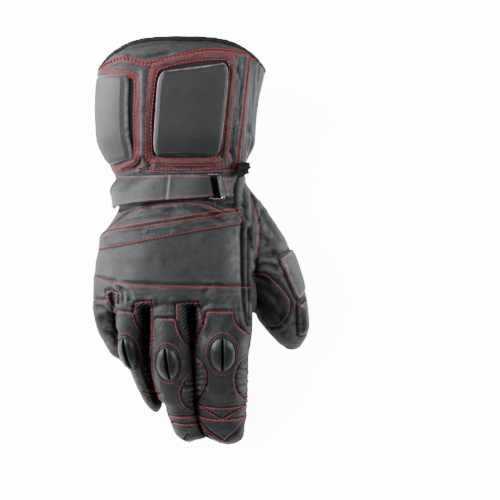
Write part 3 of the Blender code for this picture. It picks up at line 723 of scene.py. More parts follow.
# each leather's second colour is the lighter one for rubbed wear and painted highlights
looks = {
    "charcoal": leather("charcoalLeather", (0.0100, 0.0112, 0.0124), (0.075, 0.078, 0.081),
                        palm=(0.024, 0.020, 0.019), roughness=0.40, unevenness=0.40, strength=0.9),
    "cuff": leather("cuffLeather", (0.022, 0.0235, 0.025), (0.115, 0.12, 0.125), palm=(0.026, 0.022, 0.021),
                    roughness=0.44),
    "pad": leather("padLeather", (0.0160, 0.0172, 0.0184), (0.34, 0.34, 0.345), roughness=0.52, cell=0.0009,
                   wrinkle=0.020, depth=0.00012, unevenness=0.2),
    # the side pad's leather is lighter, a painted sheen of the light falling on its side
    "sidePad": leather("sidePadLeather", (0.050, 0.052, 0.053), (0.26, 0.26, 0.26), roughness=0.42, cell=0.0009,
                       wrinkle=0.020, depth=0.00012, unevenness=0.15),
    "lobe": leather("lobeLeather", (0.0095, 0.0105, 0.0118), (0.08, 0.084, 0.088), roughness=0.34, cell=0.0009,
                    wrinkle=0.012, depth=0.0001, unevenness=0.15),
    "strap": leather("strapLeather", (0.043, 0.0455, 0.047), (0.19, 0.19, 0.195), roughness=0.42, cell=0.0011,
                     wrinkle=0.012, depth=0.00014),
    "tab": leather("tabLeather", (0.022, 0.022, 0.023), (0.12, 0.12, 0.12), cell=0.0011, depth=0.00014),
    "binding": leather("bindingLeather", (0.010, 0.0095, 0.0095), (0.06, 0.06, 0.06), roughness=0.6,
                       specular=0.1),
    "palmPatch": leather("palmPatchLeather", (0.018, 0.015, 0.015), (0.07, 0.06, 0.06), roughness=0.5),
    "flap": leather("flapLeather", (0.034, 0.022, 0.020), (0.10, 0.075, 0.07), roughness=0.55),
    "slider": leather("sliderLeather", (0.032, 0.030, 0.030), (0.12, 0.115, 0.11), roughness=0.30, cell=0.002,
                      depth=0.00006, coat=0.3),
    "red": thread("redThread", (0.165, 0.016, 0.022)),
    "elastic": cloth("blackElastic", (0.005, 0.005, 0.0055), 0.0011),
    "lining": cloth("liningCloth", (0.020, 0.020, 0.021), 0.0009),
    "ring": metal("blackMetal", (0.20, 0.20, 0.21), 0.20),
}
print("materials made")


# Stitches, by geometry nodes

stitching = {"pitch": 0.0027, "length": 0.0024, "thickness": 0.00066, "lift": 0.00012, "tilt": 0.10, "seed": 3}


def makeStitchTree():
    # a small rounded stitch at even steps along each line, turned to the surface that the line lies on
    tree, given, result = group("stitchesAlongLine", [
        ("Geometry", "Geometry", None), ("Pitch", "Float", 0.003), ("Length", "Float", 0.002),
        ("Thickness", "Float", 0.0006), ("Tilt", "Float", 0.1), ("Seed", "Int", 1),
        ("Material", "Material", None)],
        [("Geometry", "Geometry")], "GeometryNodeTree")
    names = {item.name: item.identifier for item in tree.interface.items_tree if item.in_out == "INPUT"}
    given = given.outputs
    curve = node(tree, "GeometryNodeMeshToCurve", {"Mesh": given["Geometry"]})
    spots = node(tree, "GeometryNodeCurveToPoints", {"Curve": curve.outputs[0], "Length": given["Pitch"]},
                 mode="LENGTH")
    facing = node(tree, "GeometryNodeInputNamedAttribute", {"Name": "facing"}, data_type="FLOAT_VECTOR")
    along = node(tree, "FunctionNodeAlignRotationToVector", {"Vector": spots.outputs["Tangent"]}, axis="X")
    turned = node(tree, "FunctionNodeAlignRotationToVector",
                  {"Rotation": along.outputs[0], "Vector": facing.outputs[0]}, axis="Z", pivot_axis="X")
    chance = node(tree, "FunctionNodeRandomValue", {2: math2(tree, "MULTIPLY", given["Tilt"], -1.0),
                                                    3: given["Tilt"], "Seed": given["Seed"]}, data_type="FLOAT")
    angle = node(tree, "ShaderNodeCombineXYZ", {"Z": chance.outputs[1]})
    twist = node(tree, "FunctionNodeEulerToRotation", {0: angle.outputs[0]})
    final = node(tree, "FunctionNodeRotateRotation",
                 {"Rotation": turned.outputs[0], "Rotate By": twist.outputs[0]}, rotation_space="LOCAL")
    made = node(tree, "GeometryNodeMeshUVSphere", {"Segments": 6, "Rings": 5, "Radius": 0.5})
    made = node(tree, "GeometryNodeTransform", {"Geometry": made.outputs[0], "Rotation": (0, math.pi / 2, 0)})
    size = node(tree, "ShaderNodeCombineXYZ", {"X": given["Length"], "Y": given["Thickness"],
                                               "Z": given["Thickness"]})
    made = node(tree, "GeometryNodeTransform", {"Geometry": made.outputs[0], "Scale": size.outputs[0]})
    made = node(tree, "GeometryNodeInstanceOnPoints",
                {"Points": spots.outputs["Points"], "Instance": made.outputs[0], "Rotation": final.outputs[0]})
    made = node(tree, "GeometryNodeRealizeInstances", {"Geometry": made.outputs[0]})
    made = node(tree, "GeometryNodeSetShadeSmooth", {"Geometry": made.outputs[0]})
    made = node(tree, "GeometryNodeSetMaterial", {"Geometry": made.outputs[0], "Material": given["Material"]})
    tree.links.new(made.outputs[0], result.inputs[0])
    return tree, names


stitchTree, stitchInputs = makeStitchTree()


def plainMesh(obj):
    # gives the object its modifiers' result as its mesh
    graph = bpy.context.evaluated_depsgraph_get()
    mesh = bpy.data.meshes.new_from_object(obj.evaluated_get(graph), preserve_all_data_layers=True,
                                           depsgraph=graph)
    obj.modifiers.clear()
    old, obj.data = obj.data, mesh
    bpy.data.meshes.remove(old)
    mesh.name = obj.name


def addStitches(name, lines, values, material):
    # lines are pairs of points and the directions that the surface faces there
    points = np.concatenate([line[0] for line in lines])
    points[:, 2] = np.maximum(points[:, 2], values["thickness"])
    facing = np.concatenate([line[1] for line in lines])
    edges, start = [], 0
    for line in lines:
        edges += [(start + i, start + i + 1) for i in range(len(line[0]) - 1)]
        start += len(line[0])
    mesh = bpy.data.meshes.new(name)
    mesh.from_pydata(points.tolist(), edges, [])
    layer = mesh.attributes.new("facing", "FLOAT_VECTOR", "POINT")
    layer.data.foreach_set("vector", facing.astype(np.float32).ravel())
    obj = bpy.data.objects.new(name, mesh)
    bpy.context.scene.collection.objects.link(obj)
    modifier = obj.modifiers.new("stitches", "NODES")
    modifier.node_group = stitchTree
    for label in ("Pitch", "Length", "Thickness", "Tilt", "Seed"):
        modifier[stitchInputs[label]] = values[label.lower()]
    modifier[stitchInputs["Material"]] = material
    plainMesh(obj)
    layer = obj.data.attributes.get("facing")
    if layer:
        obj.data.attributes.remove(layer)
    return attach(obj, "root")


def threadLines(skin, seams):
    # the lines of stitches beside each seam, on the finished surface
    lines = []
    for seam in seams:
        sides = seam.sides()
        for offset in seam.values["threads"]:
            spots, facing = skin.nearest(seam.path + sides * offset)
            keep = np.linalg.norm(spots - seam.path, axis=1) < abs(offset) + 0.0035
            spots, facing = spots[keep], facing[keep]
            if len(spots) > 8:
                spots = softened(spots, 3, False)
                lines.append((spots + facing * stitching["lift"], facing))
    return lines


# The cuff

cuff = {"rows": 205, "columns": 440, "innerRows": 14, "lining": 0.0021, "unevenness": 0.00035,
        "stripRise": 0.0024, "grooveDepth": 0.0008, "wrinkleDepth": 0.00014, "wrinklePitch": 3.1,
        "foldSoftness": 8, "foldFullness": 0.5, "foldShade": 0.12, "foldReach": 0.012, "lowest": 0.0022}


def cuffGrid(rows, columns, lift):
    share, around = np.meshgrid(np.linspace(0, 1, rows), np.linspace(0, 360, columns, endpoint=False),
                                indexing="ij")
    return gauntletForm(share, around, lift).reshape(-1, 3)


# Lines of the cuff: frame places, or share and angle pairs where a form is named
weltLine = {"depth": 0.0005, "width": 0.0006, "threads": (0.0,), "row": 0.0009, "tint": 0.9, "shadeAndDarkDye": 0.6}
closedWelt = {"closed": True, **weltLine}
pairLine = {"depth": 0.0008, "width": 0.0006, "puff": 0.0004, "threads": (0.0009, -0.0009), "row": 0.0009,
            "tint": 0.9, "shadeAndDarkDye": 0.45}
palmLine = {"form": gauntletForm, **pairLine}
cuffLines = [
    # the inner and outer edge of the strip round the centre pad, then of the strip round the side pad
    (closedWelt, [(156.0, 76), (163.5, 67.5), (190, 61.4), (221, 58.8), (229.6, 65), (226.0, 110), (221.8, 150),
                  (215, 158.2), (188, 159.2), (158, 158.4), (151.4, 150), (151.8, 112)]),
    (closedWelt, [(150.0, 74), (159.0, 61.8), (190, 54.8), (224.0, 53.1), (235.0, 62), (232.0, 110),
                  (228.0, 153), (219.5, 163.7), (188, 164.5), (154, 163.6), (146.0, 153), (146.4, 112)]),
    (weltLine, [(97.6, 75.5), (112, 75.2), (131.5, 77.6), (135.0, 84), (134.4, 120), (134.6, 152), (130, 160.5),
                (107.5, 170.0)]),
    (weltLine, [(97.6, 70.8), (114, 70.4), (135.5, 73.6), (139.6, 82), (138.8, 120), (139.0, 155), (133, 165.2),
                (110.5, 175.0)]),
    (pairLine, [(97.6, 69), (109, 63.0), (121.5, 58.8), (134, 60.5), (147, 63.5), (164, 60), (202, 50.6),
                (227, 50.8), (250.5, 53.8)]),
    (pairLine, [(249.6, 54), (247.5, 72), (244.5, 100), (241.2, 130), (238, 150), (236, 166)]),
    (dict(depth=0.0009, width=0.0007, threads=(0.001, -0.0011)),
     [(139, 168.5), (160, 170.6), (190, 171), (215, 169.8), (236, 168)]),
    # palm side
    (palmLine, [(0.0, 186), (0.3, 186), (0.7, 186), (1.0, 186)]),
    (palmLine, [(0.0, 352), (0.3, 350), (0.7, 350), (1.0, 350)]),
    (dict(form=gauntletForm, depth=0.001, width=0.0009, threads=(0.0012, -0.0012)),
     [(0.155, 188), (0.155, 230), (0.155, 270), (0.155, 310), (0.155, 350)]),
]
# Folds of the cuff: frame places, depth and width in metres
cuffFolds = [
    ([(238.5, 62), (236, 90), (233.5, 120), (230.5, 150)], 0.0006, 0.0012),
    ([(243.5, 60), (242.5, 75), (240, 98), (237.5, 118)], 0.0005, 0.0011),
    ([(236.5, 68), (240.8, 84), (238.2, 104)], 0.0006, 0.0010),
    ([(253.5, 62), (252.5, 90), (249, 120), (247, 150)], 0.0006, 0.0018),
    ([(258.5, 66), (257.5, 90), (253.5, 116), (254, 135)], 0.0005, 0.0016),
    ([(262.5, 72), (259.5, 88), (256.5, 104)], 0.0004, 0.0012),
    ([(248, 128), (251.5, 140), (247, 158)], 0.0007, 0.0014),
    ([(229.5, 152), (233.5, 160), (231, 168)], 0.0009, 0.0011),
    ([(146.5, 160), (150, 167), (143, 171)], 0.0010, 0.0012),
    ([(160, 165.5), (185, 167.8), (212, 166.4)], 0.0008, 0.0012),
    ([(141.5, 158), (137.8, 166), (127, 172)], 0.0012, 0.0013),
    ([(130, 56), (145, 59), (168, 54)], 0.0007, 0.0016),
    ([(120, 52), (150, 47), (190, 43.5), (228, 46.5)], 0.0006, 0.0020),
]
# how far apart the strip's two edges are, where its swell ends, and how high it stands
weltStrip = {"apart": 0.0036, "fade": 0.0022, "reach": 0.006, "rise": 0.0009}


def foldRelief(base, folds, values):
    # how far folds push the leather in and out, and the shade in them
    creases = [Seam(base, line, soft=values["foldSoftness"], depth=deep, width=wide, threads=(),
                    puff=deep * values["foldFullness"], shadeAndDarkDye=values["foldShade"], reach=values["foldReach"])
               for line, deep, wide in folds]
    return seamRelief(base.points, base.normals, creases)[:2]


def makeCuff(values):
    rows, columns, innerRows = values["rows"], values["columns"], values["innerRows"]
    base = Skin(cuffGrid(rows, columns, 0.0), gridQuads(rows, columns, True, True))
    seams = [Seam(base, spots, **kind) for kind, spots in cuffLines]
    points, normals = base.points, base.normals
    x, y = framePlaces(points).T
    seen = smoothStep(normals[:, 2], 0.0, 0.2)
    height, shadeAndDarkDye, red = seamRelief(points, normals, seams)
    # the red strip round each pad
    gaps = [seam.measure(points, normals)[0] for seam in seams[:4]]
    weltMask, padSeat = np.zeros(len(points)), np.zeros(len(points))
    for inner, outer in (gaps[:2], gaps[2:]):
        band = np.clip(1 - np.abs(inner + outer - weltStrip["apart"]) / weltStrip["fade"], 0, 1)
        band *= (inner < weltStrip["reach"]) & (outer < weltStrip["reach"])
        height += weltStrip["rise"] * smoothStep(band, 0.0, 0.8)
        weltMask = np.maximum(weltMask, smoothStep(band, 0.1, 0.6))
    # a groove round each pad, inside its strip, with painted shade in it
    for inner, outer in (gaps[:2], gaps[2:]):
        groove = smoothStep(inner, 0.0008, 0.0016) * (1 - smoothStep(inner, 0.0045, 0.006))
        padSeat = np.maximum(padSeat, groove * (weltMask < 0.1) * (outer > inner + 0.0012))
    # the puffed strip between the two pads, and the folds
    strip = bell(x - 142.5, 3.2) * smoothStep(y, 66, 80) * (1 - smoothStep(y, 150, 166))
    height += values["stripRise"] * strip * seen
    creased, shade = foldRelief(base, cuffFolds, values)
    height += creased
    height += values["unevenness"] * (unevenness(points, 0.016, 1) + 0.4 * unevenness(points, 0.006, 2))
    # fine upright wrinkles by the thumb's side
    right = smoothStep(x + (y - 60) * 0.10, 228, 238) * seen
    wrinkles = np.sin((x + y * 0.10) * 2 * math.pi / values["wrinklePitch"] + 2.5 * unevenness(points, 0.012, 6))
    height += values["wrinkleDepth"] * right * wrinkles
    height -= values["grooveDepth"] * padSeat
    # painted shade in the seams, the folds and the grooves round the pads; the red strips darker
    shadeAndDarkDye = np.max([shadeAndDarkDye, shade, 0.35 * weltMask, 0.9 * padSeat], 0)
    red = np.maximum(red, 0.75 * weltMask)
    palm = smoothStep(-normals[:, 2], 0.15, 0.4)
    # painted sheen on the puffed strip and on the wrinkles by the thumb's side; raised places lighter, as rubbed
    # wear and painted highlight
    rubAndSheen = 0.45 * strip + (0.30 + 0.18 * wrinkles) * right * (y > 55)
    wearAndSheen = np.maximum(0.25 * smoothStep(height, 0.0003, 0.0012), rubAndSheen * seen)
    moved = points + normals * height[:, None]
    moved[:, 2] = np.maximum(moved[:, 2], values["lowest"])
    # the inner wall, a lining's thickness under the form, from the hem to the wrist
    inside = cuffGrid(innerRows, columns, -values["lining"])
    count = rows * columns
    quads = np.concatenate([base.quads, gridQuads(innerRows, columns, True) + count,
                            ringQuads(count - columns, count + len(inside) - columns, columns)[:, ::-1],
                            ringQuads(0, count, columns)])
    # the inner wall gets painted shade
    masks = {"shadeAndDarkDye": (shadeAndDarkDye, 0.5), "wearAndSheen": (wearAndSheen, 0.0), "palm": (palm, 0.0), "red": (red, 0.0)}
    masks = {label: np.concatenate([mask, np.full(len(inside), inner)]) for label, (mask, inner) in masks.items()}
    obj = newPiece("cuff_shell", np.concatenate([moved, inside]), quads, looks["cuff"], masks)
    placed(obj, "charcoal_leather", "gauntlet")
    return base, Skin(moved, base.quads), seams


cuffBase, cuffSkin, cuffSeams = makeCuff(cuff)
print("cuff made")


# Plates laid on a form

rimThickness = 0.15      # of a plate's thickness, at its rim


def laidSlab(name, form, place, rise, seat, rows, columns, material, slot, nodes, radius=0.0008, skin=None,
             shade=None, rimHighlight=0.5, tuck=0.0):
    # rise is the plate's thickness and seat its height over the form, as functions of v and w
    v, w = np.meshgrid(spread(rows), spread(columns), indexing="ij")
    share, around = place(v, w)
    flat = form(share, around, seat(v, w))
    edge = rimDistance(flat)
    height = rise(v, w, edge) * (rimThickness + (1 - rimThickness) * edgeRound(edge, radius))
    if skin is None:
        over, under = form(share, around, seat(v, w) + height), form(share, around, seat(v, w) - tuck)
    else:
        base, facing = skin.nearest(form(share, around, 0.0).reshape(-1, 3))
        base, facing = softGrid(base.reshape(flat.shape), 2), facing.reshape(flat.shape)
        over, under = (base + facing * (seat(v, w) + lift)[..., None] for lift in (height, -tuck))
    points, quads = slabMesh(over, under)
    quads = outwards(points, quads)
    points[:, 2] = np.maximum(points[:, 2], 0.0001)
    # a painted highlight along the rim's bevel, painted shade at the rim and on the underside
    wearAndSheen = rimHighlight * bell(edge - radius, radius)
    shadeAndDarkDye = 0.5 * bell(edge, 0.0004)
    if shade is not None:
        shadeAndDarkDye = np.maximum(shadeAndDarkDye, shade(v, w))
    obj = newPiece(name, points, quads, material,
                   {"wearAndSheen": np.append(wearAndSheen, wearAndSheen * 0), "shadeAndDarkDye": np.append(shadeAndDarkDye, shadeAndDarkDye * 0 + 0.6)})
    placed(obj, slot, *nodes)
    count = rows * columns
    return obj, Skin(points[:count], quads[(quads < count).all(1)]), over


def level(height):
    # the same height everywhere on a plate
    return lambda v, w, edge=None: height + v * 0


def softGrid(grid, passes):
    grid = grid.copy()
    for i in range(passes):
        grid[1:-1] = (grid[1:-1] * 2 + grid[:-2] + grid[2:]) / 4
        grid[:, 1:-1] = (grid[:, 1:-1] * 2 + grid[:, :-2] + grid[:, 2:]) / 4
    return grid


def laidLine(points, skin):
    # a line of thread on a surface
    spots, facing = skin.nearest(points)
    return spots + facing * stitching["lift"], facing


def rimLine(inset, over, skin):
    # a line inset from a plate's rim
    ring = rimOf(over)
    ahead = unit(softened(np.roll(ring, -1, 0) - np.roll(ring, 1, 0), 2, False))
    inward = unit(np.cross(skin.nearest(ring)[1], ahead))
    inward *= np.sign((inward * (over.reshape(-1, 3).mean(0) - ring)).sum(1))[:, None]
    moved = ring + inward * inset
    return laidLine(softened(evenly(np.concatenate([moved, moved[:1]]), 0.0005), 6, False), skin)


cuffPads = {"rise": 0.0046, "bevel": 0.0026, "crown": 0.0006}


def framedForm(skin):
    # a form whose places are frame places on a surface
    def form(x, y, lift=0.0):
        x, y, lift = paired(x, y, lift)
        spots, facing = skin.nearest(skin.cast(np.stack([x.ravel(), y.ravel()], 1)))
        spots, facing = spots.reshape(*x.shape, 3), facing.reshape(*x.shape, 3)
        return softGrid(spots, 2) + unit(softGrid(facing, 8)) * lift[..., None]
    return form


def makeCuffPads(values):
    def rise(v, w, edge):
        step = smoothStep(edge, 0.0, 0.0006) * 0.42
        bevel = np.clip((edge - 0.0004) / values["bevel"], 0, 1)
        bevel = (bevel ** 0.8 - 0.08 * np.sin(bevel * math.pi)) * 0.58
        crown = values["crown"] * (1 - v * v) * (1 - w * w)
        return values["rise"] * (step + bevel) + crown

    for name, form, corners, look, slot, node in (
            ("centre_cuff_pad", framedForm(cuffBase),
             (((152.2, 155.4), (220.6, 155.4)), ((157.6, 71.8), (229.8, 62.0))),
             "pad", "pad_leather", "cuff_pad_centre"),
            ("side_cuff_pad", gauntletForm, (((0.060, 164), (0.105, 121)), ((0.925, 160), (0.765, 118))),
             "sidePad", "side_pad_leather", "cuff_pad_side")):
        # each pad gets a bright painted highlight along its bevel
        obj = laidSlab(name, form, quadPlace(*corners, 7), rise, level(0.0002), 110, 90, looks[look], slot,
                       (node,), radius=0.0005, rimHighlight=0.7, tuck=0.0006)[0]


makeCuffPads(cuffPads)
print("cuff pads made")


binding = {"count": 360, "radius": 0.0019, "past": 0.0015}


def makeBinding(values):
    count = values["count"]
    path = gauntletForm(1.0, np.linspace(0, 360, count, endpoint=False), -sizes["wall"] / 2)
    path[:, 1] += values["past"]
    wave = 0.00010 * np.sin(np.arange(count) * 0.7) + 0.00008 * np.sin(np.arange(count) * 0.23)
    points, quads = tubeAlong(path, values["radius"] + wave, 16)
    points[:, 2] = np.maximum(points[:, 2], 0.0003)
    placed(newPiece("hem_binding", points, quads, looks["binding"]), "binding_leather", "cuff_binding")


makeBinding(binding)
print("binding made")


# The hand, fingers and thumb: one closed skin, then its seams

handValues = {"voxel": 0.00078, "smoothing": 5, "narrow": 0.0005, "splitY": -0.0475}


def capped(rings):
    # a closed tube from rings of points
    count, sides = len(rings), len(rings[0])
    points = np.concatenate(rings)
    faces = gridQuads(count, sides, True).tolist()
    faces += [list(range(sides)), list(range((count - 1) * sides, count * sides))]
    return points, faces


def joined(parts):
    points, faces, start = [], [], 0
    for p, f in parts:
        points.append(p)
        faces += [[start + i for i in face] for face in f]
        start += len(p)
    return np.concatenate(points), faces


def handSolids(values):
    around = np.linspace(0, 360, 140, endpoint=False)
    rings = [handForm(s, around) for s in np.linspace(-0.12, 0.90, 50)]
    for turn in np.radians(np.linspace(6, 86, 14)):
        ring = handForm(0.90 + 0.10 * math.sin(turn), around)
        middle = (ring[:, 2].max() + ring[:, 2].min()) / 2
        flat = math.cos(turn) ** 0.75
        ring[:, 2] = middle + (ring[:, 2] - middle) * flat
        ring[:, 0] = ring[:, 0].mean() + (ring[:, 0] - ring[:, 0].mean()) * (1 - 0.10 * (1 - math.cos(turn)))
        ring[:, 1] -= 0.0015 * math.sin(turn)
        rings.append(ring)
    parts = [capped(rings)]
    around = np.linspace(0, 360, 72, endpoint=False)
    for name in fingers:
        form = fingerForm(name)
        root = form(0.0, around, -values["narrow"])
        centre = root.mean(0)
        rings = []
        for back, scale in ((0.022, 0.80), (0.014, 0.93), (0.006, 0.99)):
            rings.append(centre + (root - centre) * scale + np.array([0, back, -0.0006 * back / 0.022]))
        shares = np.concatenate([np.linspace(0, 0.8, 40, endpoint=False),
                                 0.8 + 0.2 * np.sin(np.linspace(0, math.pi / 2 * 0.97, 16))])
        rings += [form(s, around, -values["narrow"]) for s in shares]
        parts.append(capped(rings))
    parts.append(capped([thumbForm(s, around) for s in shares]))
    # webs between the fingers' roots: middle, half width, end and height at the root
    for x, half, end, high in ((-0.0035, 0.0065, -0.074, 0.045), (-0.0345, 0.0055, -0.070, 0.042),
                               (-0.0575, 0.0045, -0.058, 0.034)):
        rings = []
        for t in np.linspace(0, 1, 12):
            y, top = -0.040 + (end + 0.040) * t, high - (high - 0.019) * t
            low = 0.016 - 0.003 * t
            left, right = x - half, x + half
            rings.append(np.array([(left, y, low), (right, y, low), (right, y, top), (left, y, top)]))
        parts.append(capped(rings))
    return joined(parts)


def voxelSkin(points, faces, size):
    mesh = bpy.data.meshes.new("skin")
    mesh.from_pydata(points.tolist(), [], faces)
    obj = bpy.data.objects.new("skin", mesh)
    bpy.context.scene.collection.objects.link(obj)
    modifier = obj.modifiers.new("voxels", "REMESH")
    modifier.mode = "VOXEL"
    modifier.voxel_size = size
    plainMesh(obj)
    mesh = obj.data
    found = np.zeros(len(mesh.vertices) * 3, np.float32)
    mesh.vertices.foreach_get("co", found)
    loops = np.zeros(len(mesh.loops), np.int32)
    mesh.loops.foreach_get("vertex_index", loops)
    bpy.data.objects.remove(obj)
    return found.reshape(-1, 3).astype(float), loops.reshape(-1, 4)


def edgesOf(quads):
    pairs = np.concatenate([quads[:, [0, 1]], quads[:, [1, 2]], quads[:, [2, 3]], quads[:, [3, 0]]])
    return np.unique(np.sort(pairs, 1), axis=0)


def smoothed(points, edges, passes, strength=1.0):
    ties = np.bincount(edges.ravel(), minlength=len(points))[:, None]
    strength = 0.5 * np.broadcast_to(strength, (len(points),))[:, None]
    for i in range(passes):
        total = np.zeros_like(points)
        for axis in range(3):
            total[:, axis] = (np.bincount(edges[:, 0], points[edges[:, 1], axis], len(points))
                              + np.bincount(edges[:, 1], points[edges[:, 0], axis], len(points)))
        points = points + (total / np.maximum(ties, 1) - points) * strength
    return points


def nearestFinger(points):
    # which finger each point belongs to: its distance from each one's middle, in half widths
    share = np.linspace(0, 1, 40)
    gaps = []
    for name in fingers:
        form = fingerForm(name)
        thumbSide, littleSide = form(share, 0.0), form(share, 180.0)
        centre, half = (thumbSide + littleSide) / 2, np.abs(thumbSide - littleSide)[:, 0] / 2
        half[share > sizes["tipStart"]] = half[share <= sizes["tipStart"]][-1]
        away = np.abs(np.interp(-points[:, 1], -centre[:, 1], centre[:, 0]) - points[:, 0])
        away /= np.interp(-points[:, 1], -centre[:, 1], half)
        gaps.append(away + 1000 * np.maximum(0, centre[-1, 1] - 0.004 - points[:, 1]))
    return np.argmin(gaps, 0)


# where neighbouring fingers meet: frame row and column, and the height of the crease
fingerMeetings = {
    ("middle", "index"): {"line": [(300, 192.0), (318, 192.4), (345, 193.2), (385, 194.6), (405, 195.8),
                                   (420, 197.4), (430, 200.2), (438, 204.5), (443, 210.0)],
                          "height": 0.030, "fade": (0.0025, 0.005)},
    ("ring", "middle"): {"line": [(300, 150.0), (318, 150.4), (345, 150.6), (372, 151.8), (390, 156.5),
                                  (408, 163.0)],
                         "height": 0.028, "fade": (0.006, 0.005)},
}
bite = 0.0005       # how far each side goes past the line, so that no light comes through


def meetingLine(values):
    rows = np.array(values["line"], float)
    deep = camera["height"] - values["height"]
    rays = frameRays(rows[:, ::-1])
    return camera["x"] + rays[:, 0] * deep, camera["y"] + rays[:, 1] * deep


# Fingertips that are blunter than round: middle and half size in the frame, squareness, length
bluntTips = {"index": {"centre": (224.5, 418.0), "half": (22.0, 23.0), "squareness": 4.2, "length": 1.09},
             "middle": {"centre": (187.0, 420.0), "half": (18.0, 20.0), "squareness": 2.7, "length": 1.02}}
webEdges = (252.6, 252.0)       # the frame columns that part the hand's side from the thumb's
# Sides moved in the frame: side, middle place, reach along x and y, and how far in metres
sideMoves = [(1, (249.0, 322.0), (7.0, 27.0), 0.0036), (1, (250.0, 290.0), (5.0, 14.0), 0.0018),
             (-1, (259.0, 318.0), (7.0, 11.0), -0.0026), (-1, (254.5, 305.0), (5.0, 5.0), -0.0010)]


def bluntTip(points, owner):
    # rounds the fingertips as a squared ellipse
    spots = framePlaces(points)
    moved = points.copy()
    for name, tip in bluntTips.items():
        away = (spots - tip["centre"]) / tip["half"]
        power = tip["squareness"]
        angle = np.arctan2(away[:, 1], away[:, 0])
        grow = (np.abs(np.cos(angle)) ** power + np.abs(np.sin(angle)) ** power) ** (-1 / power)
        grow = 1 + (grow - 1) * smoothStep(np.linalg.norm(away, axis=1), 0.2, 0.9)
        share = smoothStep(away[:, 1], 0.0, 0.3) * (owner == list(fingers).index(name))
        shift = away * tip["half"] * (grow[:, None] * np.array([1.0, tip["length"]]) - 1) * share[:, None]
        moved[:, :2] += shift * (1, -1) * ((camera["height"] - points[:, 2]) * perPlace)[:, None]
    return moved


def moveSides(points, normals):
    # the hand's side by the thumb is fuller and the thumb lies closer to it
    x, y = framePlaces(points).T
    moved = points.copy()
    for way, centre, reach, far in sideMoves:
        near = np.abs(x - centre[0]) < 2 * reach[0]
        edge = smoothStep(way * normals[:, 0], 0.0, 0.7) * near * smoothStep(normals[:, 2], -0.7, -0.2)
        side = x < webEdges[0] if way > 0 else x > webEdges[1]
        moved[:, 0] += far * bell(y - centre[1], reach[1]) * edge * side
    return moved


def meetFingers(points, normals, owner):
    # moves the fingers' facing sides onto the lines where they meet
    owner = np.where((points[:, 1] < -0.0455) & (points[:, 0] < 0.0405), owner, -1)
    moved = points.copy()
    for pair, values in fingerMeetings.items():
        x, y = meetingLine(values)
        bins = np.arange(y[-1], y[0], 0.0012)
        target = np.interp(bins, y[::-1], x[::-1])
        low, high = values["fade"]
        fade = smoothStep(bins, y[-1], y[-1] + low) * (1 - smoothStep(bins, y[0] - high, y[0]))
        for name, way in zip(pair, (1, -1)):
            mine = owner == list(fingers).index(name)
            edge = np.full(len(bins), np.nan)
            for i, row in enumerate(bins):
                near = points[mine & (np.abs(points[:, 1] - row) < 0.0012)]
                if len(near) > 20:
                    edge[i] = (near[:, 0] * way).max() * way
            known = ~np.isnan(edge)
            reach = np.interp(bins, bins[known], (target - edge)[known] * way + bite)
            reach = softened(np.stack([reach, bins], 1), 8, False)[:, 0] * fade
            push = np.interp(points[:, 1], bins, reach, left=0.0, right=0.0)
            moved[:, 0] += way * push * smoothStep(way * normals[:, 0], 0.0, 0.65) * mine
    return moved


def creaseShade(points, normals, owner):
    # painted shade: the black crease where two fingers meet
    found = np.zeros(len(points))
    for pair, values in fingerMeetings.items():
        y = meetingLine(values)[1]
        along = points[:, 1]
        within = (1 - smoothStep(along, y[0] - 0.004, y[0])) * smoothStep(along, y[-1], y[-1] + 0.004)
        for name, way in zip(pair, (1, -1)):
            mine = owner == list(fingers).index(name)
            found = np.maximum(found, within * smoothStep(way * normals[:, 0], 0.80, 0.95) * mine)
    return found


def partOf(points, quads):
    # the points that some faces use, the faces numbered for them, and which points they are
    used = np.unique(quads)
    fresh = np.full(len(points), -1)
    fresh[used] = np.arange(len(used))
    return points[used], fresh[quads], used


def makeHandSkin(values):
    points, quads = voxelSkin(*handSolids(values), values["voxel"])
    quads = outwards(points, quads)
    edges = edgesOf(quads)
    points = smoothed(points, edges, values["smoothing"])
    owner = nearestFinger(points)
    points = bluntTip(points, owner)
    points = meetFingers(points, vertexNormals(points, quads), owner)
    points = smoothed(moveSides(points, vertexNormals(points, quads)), edges, 4)
    # the wrist's end is open
    keep = points[quads].mean(1)[:, 1] < sizes["wristY"] + centring[1] + 0.004
    points, quads, used = partOf(points, quads[keep])
    skin = Skin(points, quads)
    skin.finger = owner[used]
    return skin


handBase = makeHandSkin(handValues)
print("hand skin:", len(handBase.points), "points")

